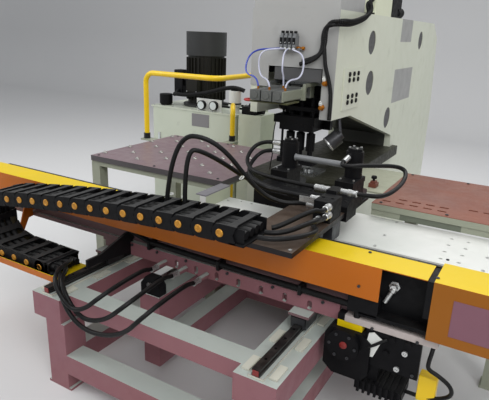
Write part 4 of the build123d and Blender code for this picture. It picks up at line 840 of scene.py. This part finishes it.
def window_panel_and_hole_shade():
    """The panel in the window of the head, and dark discs inside the round holes of both side plates: painted
    shade for the open holes.
    """
    Solid().box((-100, 178), (-186, -180), (1408, 1474)).done("window_panel", "blank_grey", "machine")
    rounds = Solid()
    for y, z, radius in ((402, 1615, 70), (436, 1374, 75), (1662, 1632, 70), (930, 1098, 75)):
        for x, way in ((240, RIGHT), (-240, LEFT)):
            rounds.turned((x, y, z), way, disc(radius - 0.4, 6), 48)
    rounds.done("side_blanks", "blank_grey", "machine")


def frame_bolts():
    """Bolt heads with washers in the right side plate, in two groups of three pairs."""
    heads = Solid()
    for z in (1430, 1307):
        for y in (33, 105, 177):
            for step in (-16, 16):
                place = (250, y, z + step)
                heads.turned(place, RIGHT, [(0, 0), (14.5, 0), (14.5, 11), (12, 13.5), (0, 13.5)], 6)
                heads.turned(place, RIGHT, disc(15.5, 2), 24)
    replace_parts(heads.done("head_bolts", "black_paint", "machine", 0.6), "frame_bolts")


def selector_ends():
    """Front ends of the three selector cylinders with their screws, and the plate under them."""
    places, ends = [], Solid()
    for x in (-66, 0, 66):
        places += [(x + a, -447, 1346 + b) for a in (-21, 21) for b in (-19, 19)]
        ends.box((x - 29, x + 29), (-462, -446), (1320, 1372))
        ends.turned((x, -462, 1346), FRONT, disc(17, 5), 28)
    screws(places, "cylinder_screws", "dark_steel", "ram", 3.5, 3, FRONT)
    ends.done("cylinder_ends", "cylinder_grey", "ram", 3.0)
    Solid().box((-108, 108), (-440, -290), (1306, 1314)).done("cylinder_base", "olive_paint", "ram", 1.0)


def cabinet():
    """Servo valve behind the cabinet with its knob, and the cabinet's base."""
    motor = [(0, 0), (26, 0), (26, 60), (34, 64), (34, 150), (22, 156), (0, 156)]
    valve = Solid().box((150, 246), (760, 900), (1786, 1990)).box((176, 240), (900, 1010), (1830, 1950))
    valve.turned((205, 905, 1800), (0.1, 1, 0.08), motor, 28)
    valve.done("valve_head", "black_paint", "machine", 4.0)
    knob = [(0, 0), (20, 0), (20, 26), (26, 30), (26, 52), (14, 56), (0, 56)]
    Solid().turned((198, 1010, 1890), REAR, knob, 28).done("valve_knob", "valve_grey", "machine", 2.0)
    Solid().box((-246, 246), (396, 1020), (1777, 1786)).done("cabinet_base", "black_paint", "machine", 1.0)


class MACHINE_OT_head(bpy.types.Operator):
    """Conduits, air tubes, valves, fittings and lamp of the press head"""
    bl_idname = "machine.head"
    bl_label = "Head"

    def execute(self, context):
        conduits(context.scene.machine_sizes.conduit / MM)
        for make in (air_lines, valve_details, glands, lamp_face, window_panel_and_hole_shade, frame_bolts, selector_ends,
                     cabinet):
            make()
        return {"FINISHED"}


# Power unit

def dial_axes(degrees):
    """The way out from a dial's centre at an angle, and the way across it."""
    a = math.radians(degrees)
    return Vector((math.cos(a), 0, math.sin(a))), Vector((-math.sin(a), 0, math.cos(a)))


def gauges():
    """Two gauges: bezels, dials, marks with a pointer, and glass."""
    bezel = [(34, -4), (39, -4), (39, 5), (36, 7), (33, 5), (33, 0), (34, -4)]
    bezels, dials, marks, glass = Solid(), Solid(), Solid(), Solid()
    for x, z in ((-1307, 1047), (-1184, 1051)):
        bezels.turned((x, 818, z), FRONT, bezel, 40)
        dials.turned((x, 818, z), FRONT, rod(33.5, 1), 40)
        glass.turned((x, 818, z), FRONT, [(0, 3), (33, 3), (33, 4), (0, 5)], 40)
        for step in range(11):
            out, side = dial_axes(225 - step * 27)
            start, length = (24, 5) if step % 5 else (21, 8)
            mark = [(0, -0.6), (length, -0.6), (length, 0.6), (0, 0.6)]
            marks.slab(mark, Vector((x, 817, z)) + out * start, out, side, 0.4)
        out, side = dial_axes(200)
        marks.slab([(-6, -1.2), (22, -0.3), (22, 0.3), (-6, 1.2)], (x, 816, z), out, side, 0.6)
    bezels.done("gauge_bezels", "black_plastic", "machine")
    dials.done("gauge_dials", "dial_grey", "machine")
    marks.done("gauge_marks", "black_plastic", "machine")
    glass.done("gauge_glass", "clear_glass", "machine")


def tank_top():
    """Lid of the filler cap, band and cap of the return filter, and the screws of the tank's lid."""
    lid = [(0, 0), (56, 0), (53, 3), (0, 3)]
    Solid().turned((-1755, 910, 1095), UP, lid, 40).done("filler_cap_lid", "black_plastic", "machine")
    band = Solid().turned((-1019, 900, 1075), UP, [(52, 0), (55, 1), (55, 11), (52, 12), (52, 0)], 40)
    band.turned((-1019, 900, 1185), UP, [(0, 0), (34, 0), (34, 6), (20, 10), (0, 10)])
    band.done("filter_band", "black_plastic", "machine")
    rim = [(x, y, 1000.5) for y in (824, 1396) for x in range(-1820, -960, 104)]
    screws(rim, "tank_lid_screws", "silver", "machine", 7, 6)


def pump_motor():
    """Lifting eye, terminal boxes and hose of the pump motor."""
    eye = [(9, -9), (16, -9), (16, 0), (9, 0), (9, -9)]
    Solid().turned((-1470, 968, 1400), FRONT, eye, 28).done("motor_eye", "motor_paint", "machine", 2.0)
    corners = [(-1470 + a, 905.5, 1200 + b) for a in (-50, 50) for b in (-60, 60)]
    screws(corners, "terminal_screws", "silver", "machine", 5, 3, FRONT)
    route = [(-1752, 1085, 1110), (-1700, 960, 1090), (-1631, 880, 1111), (-1521, 880, 1107),
             (-1361, 880, 1130), (-1227, 880, 1163), (-1107, 880, 1201), (-990, 885, 1215),
             (-930, 900, 1190)]
    tube(route, "motor_hose", "rubber", "machine", 17, 1.2, 10)
    box = Solid().box((-1800, -1704), (1085, 1180), (1090, 1300))
    box.box((-1704, -1640), (1110, 1160), (1160, 1230))
    box.done("motor_terminal_box", "black_paint", "machine", 5.0)
    Solid().box((-1528, -1412), (906, 910), (1134, 1266)).done("terminal_lid", "motor_paint", "machine", 2.0)


class MACHINE_OT_power(bpy.types.Operator):
    """Gauges, caps, screws and small parts of the power unit and its stand"""
    bl_idname = "machine.power"
    bl_label = "Power unit"

    def execute(self, context):
        for make in (gauges, tank_top, pump_motor):
            make()
        Solid().box((-1780, -1750), (814, 820), (600, 760)).done("sight_frame", "silver", "machine", 2.0)
        window = Solid().box((-1772, -1758), (811, 815), (615, 745))
        window.done("sight_window", "clear_glass", "machine", 1.0)
        places = [(-857 + a, 900 + b, 1073) for a in (-45, 55) for b in (-40, 85)]
        screws(places, "valve_screws", "silver", "machine", 6, 5)
        return {"FINISHED"}


# Saddle and base

COVER_TOP, COVER_FRONT = 850, -1068
RAILS = (-579, 523)

saddle_routes = [
    [(-705, -1275, 525), (-600, -1310, 540), (-450, -1465, 545), (-330, -1465, 395), (-90, -1465, 440),
     (55, -1465, 600), (36, -1180, 600), (33, -1125, 580), (33, -1080, 580)],
    [(-705, -1225, 525), (-610, -1260, 545), (-455, -1448, 585), (-350, -1450, 440), (-200, -1450, 470),
     (-65, -1450, 592), (-86, -1180, 602), (-88, -1125, 580), (-88, -1080, 580)],
    [(-705, -1175, 525), (-630, -1205, 560), (-470, -1478, 625), (-385, -1478, 500), (-290, -1478, 505),
     (-190, -1450, 602), (-208, -1180, 604), (-210, -1125, 580), (-210, -1080, 580)],
]


def cover_details():
    """Screws and bare plate of the beam's end cover, and the fittings in the recess beside it."""
    places = [(752, -950, COVER_TOP + 1)]
    places += [(x, y, COVER_TOP + 1) for x in (1022, 1535) for y in (-1030, -846)]
    screws(places, "cover_screws_top", "dark_steel", "saddle", 6.5, 3)
    places = [(757, COVER_FRONT - 1, COVER_TOP - 92)] + [(1534, COVER_FRONT - 1, z) for z in (640, 735, 830)]
    screws(places, "cover_screws_front", "dark_steel", "saddle", 6, 3, FRONT)
    plate = Solid().box((1090, 1300), (COVER_FRONT - 1.6, COVER_FRONT - 0.2), (660, 800))
    plate.done("bare_plate", "bare_plate", "saddle", 0.5)
    fitting = [(0, 0), (22, 0), (22, 8), (14, 9), (14, 28), (0, 28)]
    Solid().turned((871, -984, 756), FRONT, fitting, 6).done("recess_fitting", "silver", "saddle", 1.0)
    rear = Solid().box((760, 1018), (-987, -984), (632, 828)).box((996, 1018), (-1066, -930), (700, 846))
    rear.box((713, 832), (-1046, -990), (632, 700)).box((760, 1017), (-1046, -987), (625, 640))
    rear.done("recess_back", "black_paint", "saddle", 1.0)
    end = [(0, 0), (9, 0), (9, 52), (14, 54), (14, 70), (0, 70)]
    stub = Solid().turned((846, -1008, 690), (0.42, 0.1, 1), end, 20)
    stub.done("recess_hose_end", "silver", "saddle", 0.8)


def drive_details():
    """Hub, bracket, bolts, cables, screws and plug of the carriage drive."""
    hub = [(0, 0), (15, 0), (15, 3), (12, 5), (0, 5)]
    Solid().turned((727, -1088, 501), FRONT, hub, 36).done("drive_hub", "cap_red", "saddle")
    bracket = [(807, 533), (815, 463), (837, 467), (853, 514), (866, 550), (831, 572), (812, 565)]
    Solid().slab(bracket, (0, -1044, 0), RIGHT, UP, 7).done("drive_bracket", "deck_white", "saddle", 1.0)
    screws([(953, -1044, 524), (931, -1044, 448)], "drive_bolts", "silver", "saddle", 11, 8, FRONT)
    cable = [(880, -1042, 556), (862, -1056, 546), (836, -1057, 522), (812, -1056, 506), (800, -1042, 500)]
    tube(cable, "drive_cable", "rubber", "saddle", 6)
    cable = [(1046, -1000, 592), (1046, -1036, 564), (1040, -1042, 519), (1040, -1042, 488),
             (1081, -1040, 474), (1128, -1034, 442), (1136, -1020, 395), (1090, -1005, 350),
             (1020, -1000, 330), (965, -990, 325)]
    tube(cable, "motor_cable", "rubber", "saddle", 8)
    angles = [math.tau * i / 6 for i in range(6)]
    places = [(722 + 52 * math.cos(a), -1089, 496 + 52 * math.sin(a)) for a in angles]
    places += [(x, -1043, z) for x, z in ((820, 585), (990, 585), (820, 440), (990, 440))]
    screws(places, "drive_screws", "dark_steel", "saddle", 6, 5, FRONT)
    Solid().box((1009, 1077), (-1010, -960), (320, 430)).done("drive_plug", "yellow_paint", "saddle", 3.0)


def fitting_bar():
    """Screws of the fitting bar, and the hoses from the drag chain to it with their sleeves."""
    places = [(x, -1019, 619) for x in (-420, -260, -86, 144, 374, 604)]
    screws(places, "bar_screws", "dark_steel", "saddle", 7, 5, FRONT)
    for number, route in enumerate(saddle_routes):
        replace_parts(hose(route, "saddle_hose_" + str(number + 1), "saddle"), "saddle_hoses")
    sleeve = [(0, 0), (13.5, 0), (13.5, 6), (12, 8), (12, 34), (13, 36), (13, 44), (0, 44)]
    sleeves = Solid()
    for x in (-210, -88, 33):
        sleeves.turned((x, -1080, 580), FRONT, sleeve, 24)
    sleeves.done("saddle_sleeves", "silver", "saddle")


def rail_details():
    """End caps of the saddle rails and wipers of the bearing blocks."""
    caps, ends, wipers = Solid(), Solid(), Solid()
    for x in RAILS:
        caps.box((x - 13, x + 13), (-1424, -1420.2), (484, 506))
        ends.box((x - 18, x + 18), (-232, -229.8), (481, 511))
        for y in (-1010, -640):
            for low, high in ((-60, -55), (55, 60)):
                wipers.box((x - 33, x + 33), (y + low, y + high), (514, 546))
    caps.done("rail_caps_front", "cap_red", "machine", 1.5)
    ends.done("rail_caps_rear", "black_plastic", "machine", 0.8)
    wipers.done("bearing_wipers", "black_plastic", "saddle", 1.0)


def deck_details():
    """Holes and screws of the saddle deck, and the screws of the carriage rail."""
    places = [(-65 + a, -508, 7.9) for a in (-33, 33)]
    places += [(1008 + a, -530 + b, 8.9) for a in (-36, 36) for b in (-132, -44, 44, 132)]
    holes = Solid()
    for x, y, radius in places:
        holes.turned((x, y, 758), UP, disc(radius, 4), 20)
    holes.done("deck_holes", "black_plastic", "saddle")
    places = [(x, y, 776) for x in (-160, 340, 700, 1140) for y in (-690, -540)]
    places += [(x, -330, 776) for x in (340, 700, 1140)]
    screws(places, "deck_screws", "silver", "saddle", 7, 3)
    places = [(x, -905, 845.4) for x in range(-1470, 1480, 60)]
    screws(places, "rail_screws", "dark_steel", "saddle", 4, 1.2)


class MACHINE_OT_saddle(bpy.types.Operator):
    """Screws, end caps, drive and fitting details of the saddle beam and base"""
    bl_idname = "machine.saddle"
    bl_label = "Saddle and base"

    def execute(self, context):
        for make in (cover_details, drive_details, fitting_bar, rail_details, deck_details):
            make()
        feet = Solid()
        for x in (-529, 503):
            for y in (-1370, -280):
                feet.turned((x, y, 0), UP, [(0, 0), (34, 0), (34, 8), (14, 12), (0, 12)], 28)
        feet.done("levelling_feet", "black_paint", "machine")
        return {"FINISHED"}


# Carriage and clamps

PORT = Vector((500, -480, 1135))
LEAN = Vector((-0.25, -0.87, -0.42)).normalized()

carriage_routes = [
    [(424, -1160, 946), (440, -1152, 946), (530, -1010, 1000), (550, -985, 985), (550, -940, 985)],
    [(424, -1215, 946), (480, -1205, 944), (560, -1060, 975), (553, -985, 952), (553, -940, 952)],
    [(424, -1265, 942), (490, -1255, 940), (592, -1090, 940), (512, -985, 925), (512, -940, 925)],
    [(-76, -1170, 930), (-62, -1150, 1240), (110, -1080, 1240), (235, -940, 1000), (330, -888, 952),
     (405, -850, 960), (436, -850, 960)],
    [(13, -1158, 938), (-2, -1144, 1185), (60, -1085, 1180), (190, -860, 1000), (300, -815, 979),
     (437, -815, 979)],
    [(73, -480, 1119), (20, -480, 1119), (-38, -505, 1088), (-35, -590, 1024), (110, -717, 1000),
     (412, -717, 1000)],
    [(73, -480, 1076), (25, -480, 1076), (-22, -512, 1035), (-5, -620, 985), (130, -735, 970),
     (345, -785, 963), (400, -790, 948), (440, -790, 948)],
    [PORT + LEAN * 92, PORT + LEAN * 135, (570, -560, 1092), (700, -310, 1060), (735, -420, 1015),
     (725, -700, 1008), (640, -717, 1002), (600, -717, 1002)],
]
sleeve_places = [
    ((550, -940, 985), FRONT), ((553, -940, 952), FRONT), ((512, -940, 925), FRONT), ((436, -850, 960), LEFT),
    ((437, -815, 979), LEFT), ((412, -717, 1000), LEFT), ((600, -717, 1002), RIGHT), ((440, -790, 948), LEFT),
    ((73, -480, 1119), LEFT), ((73, -480, 1076), LEFT),
]


def carriage_screws():
    """Screws of the carriage plate, the clamps and the clamp frame."""
    places = [(x, y, 911) for x in (332, 543) for y in (-1240, -1090, -760)]
    places += [(x, -760, 911) for x in (400, 470)]
    screws(places, "carriage_screws", "silver", "carriage", 7.5, 4)
    places = []
    for x in (165, 500):
        places += [(x + 27 * math.cos(a), -480 + 27 * math.sin(a), 1151.5) for a in (0.6, 2.2, 3.7, 5.3)]
        places += [(x + a, b, 1011.5) for a in (-32, 32) for b in (-560, -440)]
    screws(places, "clamp_screws", "silver", "carriage", 5, 5)
    places = [(x, -690, 948) for x in (115, 165, 215, 450, 500, 550)]
    screws(places, "clamp_frame_screws", "dark_steel", "carriage", 9, 8)


class MACHINE_OT_carriage(bpy.types.Operator):
    """Screws, hoses, sleeves, bar and ties on the carriage and its clamps"""
    bl_idname = "machine.carriage"
    bl_label = "Carriage and clamps"

    def execute(self, context):
        carriage_screws()
        for number, route in enumerate(carriage_routes):
            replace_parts(hose(route, "carriage_hose_" + str(number + 1), "carriage"), "carriage_hoses")
        sleeve = [(10, -30), (15.5, -30), (15.5, -18), (13.6, -17), (13.6, 4), (14.4, 6), (13.6, 10),
                  (10.2, 12), (10, -30)]
        sleeves = Solid()
        for tip, way in sleeve_places:
            sleeves.turned(Vector(tip) - Vector(way) * 6, way, sleeve, 24)
        sleeves.done("crimp_sleeves", "silver", "carriage")
        bar = [(0, 0), (17, 0), (17, 4), (15, 6), (15, 247), (17, 249), (17, 253), (0, 253)]
        Solid().turned((206, -505, 1068), RIGHT, bar, 24).done("clamp_bar", "valve_grey", "carriage")
        ties = Solid()
        for place, way in (((-66, -1152, 985), (0.05, 0.05, 1)), ((3, -1150, 985), (-0.05, 0.05, 1)),
                           ((190, -1003, 1070), (0.7, 0.75, -1.2))):
            ties.turned(place, way, [(10, 0), (12, 0), (12, 5), (10, 5), (10, 0)], 20)
        ties.done("hose_ties", "white_plastic", "carriage")
        return {"FINISHED"}


# Floor, light and camera

SENSOR = 36.0
IMAGE_WIDTH = 489
FOCAL_PIXELS = 515.6


def make_floor(scene):
    """A pale floor that bends up into a backdrop behind the machine."""
    wall, curve = 6.5, 1.5
    angles = [a * math.pi / 16 for a in range(1, 9)]
    outline = [(-14, 0), (wall, 0)]
    outline += [(wall + curve * math.sin(a), curve - curve * math.cos(a)) for a in angles]
    outline += [(wall + curve, 9)]
    sheet = bmesh.new()
    rows = [[sheet.verts.new((x, y, z)) for x in (-16, 16)] for y, z in outline]
    for low, high in zip(rows, rows[1:]):
        sheet.faces.new((low[0], low[1], high[1], high[0]))
    mesh = bpy.data.meshes.new("floor")
    sheet.to_mesh(mesh)
    sheet.free()
    mesh.shade_smooth()
    floor = bpy.data.objects.new("floor", mesh)
    scene.collection.objects.link(floor)
    look = Finish("floor_pale")
    grey = look.mix(look.spread(look.noise(0.6, 3.0), 0.0, 0.25), (0.66, 0.66, 0.66), (0.62, 0.62, 0.63))
    look.put(look.shader.inputs["Base Color"], grey)
    look.put(look.shader.inputs["Roughness"], 0.75)
    mesh.materials.append(look.material)


def make_light(scene):
    """A pale sky and three large soft lamps."""
    world = bpy.data.worlds.new("studio")
    scene.world = world
    world.use_nodes = True
    back = world.node_tree.nodes["Background"]
    back.inputs["Color"].default_value = (0.95, 0.97, 1.0, 1.0)
    back.inputs["Strength"].default_value = 0.45
    middle = Vector((-0.2, 0.0, 0.8))
    for place, size, power in (((3.2, -4.4, 4.8), 3.5, 210.0), ((-4.5, -2.5, 4.5), 4.0, 150.0),
                               ((0.5, 2.5, 5.5), 4.5, 170.0)):
        lamp = bpy.data.lights.new("lamp", "AREA")
        lamp.size = size
        lamp.energy = power
        holder = bpy.data.objects.new("lamp", lamp)
        holder.location = place
        holder.rotation_euler = (middle - Vector(place)).to_track_quat("-Z", "Y").to_euler()
        scene.collection.objects.link(holder)


def make_camera(scene):
    """The camera, turned, tilted and leaning as its settings say."""
    settings = scene.machine_camera
    turn, tilt, roll = (math.radians(angle) for angle in (settings.turn, settings.tilt, settings.roll))
    ahead = Vector((-math.sin(turn) * math.cos(tilt), math.cos(turn) * math.cos(tilt), -math.sin(tilt)))
    right = Vector((math.cos(turn), math.sin(turn), 0))
    above = right.cross(ahead)
    across = right * math.cos(roll) + above * math.sin(roll)
    upright = above * math.cos(roll) - right * math.sin(roll)
    lens = bpy.data.cameras.new("camera")
    lens.lens = settings.lens
    lens.sensor_width = SENSOR
    lens.clip_end = 60.0
    camera = bpy.data.objects.new("camera", lens)
    basis = Matrix((across, upright, -ahead)).transposed().to_4x4()
    camera.matrix_world = Matrix.Translation(settings.place) @ basis
    scene.collection.objects.link(camera)
    scene.camera = camera


class MACHINE_OT_stage(bpy.types.Operator):
    """Floor, backdrop, soft lamps and the camera"""
    bl_idname = "machine.stage"
    bl_label = "Stage"

    def execute(self, context):
        for make in (make_floor, make_light, make_camera):
            make(context.scene)
        context.scene.view_settings.view_transform = "Standard"
        return {"FINISHED"}


# Settings and panel

class MachineSizes(bpy.types.PropertyGroup):
    ball: bpy.props.FloatProperty(name="Ball", description="Radius of a ball transfer's ball", default=0.0105,
                                  min=0.002, subtype="DISTANCE", unit="LENGTH")
    cup: bpy.props.FloatProperty(name="Cup", description="Radius of a ball transfer's cup", default=0.017,
                                 min=0.004, subtype="DISTANCE", unit="LENGTH")
    conduit: bpy.props.FloatProperty(name="Conduit", description="Radius of the two conduits along the head",
                                     default=0.0105, min=0.003, subtype="DISTANCE", unit="LENGTH")


class MachineCamera(bpy.types.PropertyGroup):
    place: bpy.props.FloatVectorProperty(name="Place", description="Where the camera stands", size=3,
                                         default=(1.25, -2.80, 1.65), subtype="XYZ", unit="LENGTH")
    turn: bpy.props.FloatProperty(name="Turn", description="Degrees from the depth axis towards the left",
                                  default=30.07)
    tilt: bpy.props.FloatProperty(name="Tilt", description="Degrees below level", default=18.04)
    roll: bpy.props.FloatProperty(name="Roll", description="Degrees that the camera leans", default=2.08)
    lens: bpy.props.FloatProperty(name="Lens", description="Focal length in millimetres for a 36 mm sensor",
                                  default=FOCAL_PIXELS / IMAGE_WIDTH * SENSOR, min=10.0)


class MACHINE_PT_pieces(bpy.types.Panel):
    """Lists the steps that dress the machine"""
    bl_idname = "MACHINE_PT_pieces"
    bl_label = "Plate punching machine"
    bl_space_type = "VIEW_3D"
    bl_region_type = "UI"
    bl_category = "Machine"

    def draw(self, context):
        for operator in operators:
            self.layout.operator(operator.bl_idname)
        for key in MachineCamera.__annotations__:
            self.layout.prop(context.scene.machine_camera, key)


groups = [(MachineSizes, "machine_sizes"), (MachineCamera, "machine_camera")]
operators = [MACHINE_OT_finishes, MACHINE_OT_tables, MACHINE_OT_chain, MACHINE_OT_head, MACHINE_OT_power,
             MACHINE_OT_saddle, MACHINE_OT_carriage, MACHINE_OT_stage]


def register():
    for group, name in groups:
        bpy.utils.register_class(group)
        setattr(bpy.types.Scene, name, bpy.props.PointerProperty(type=group))
    for item in operators + [MACHINE_PT_pieces]:
        bpy.utils.register_class(item)


def unregister():
    for item in [MACHINE_PT_pieces] + operators[::-1]:
        bpy.utils.unregister_class(item)
    for group, name in groups[::-1]:
        delattr(bpy.types.Scene, name)
        bpy.utils.unregister_class(group)


def main():
    register()
    for operator in operators:
        family, step = operator.bl_idname.split(".")
        getattr(getattr(bpy.ops, family), step)()
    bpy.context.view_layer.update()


if __name__ == "__main__":
    main()
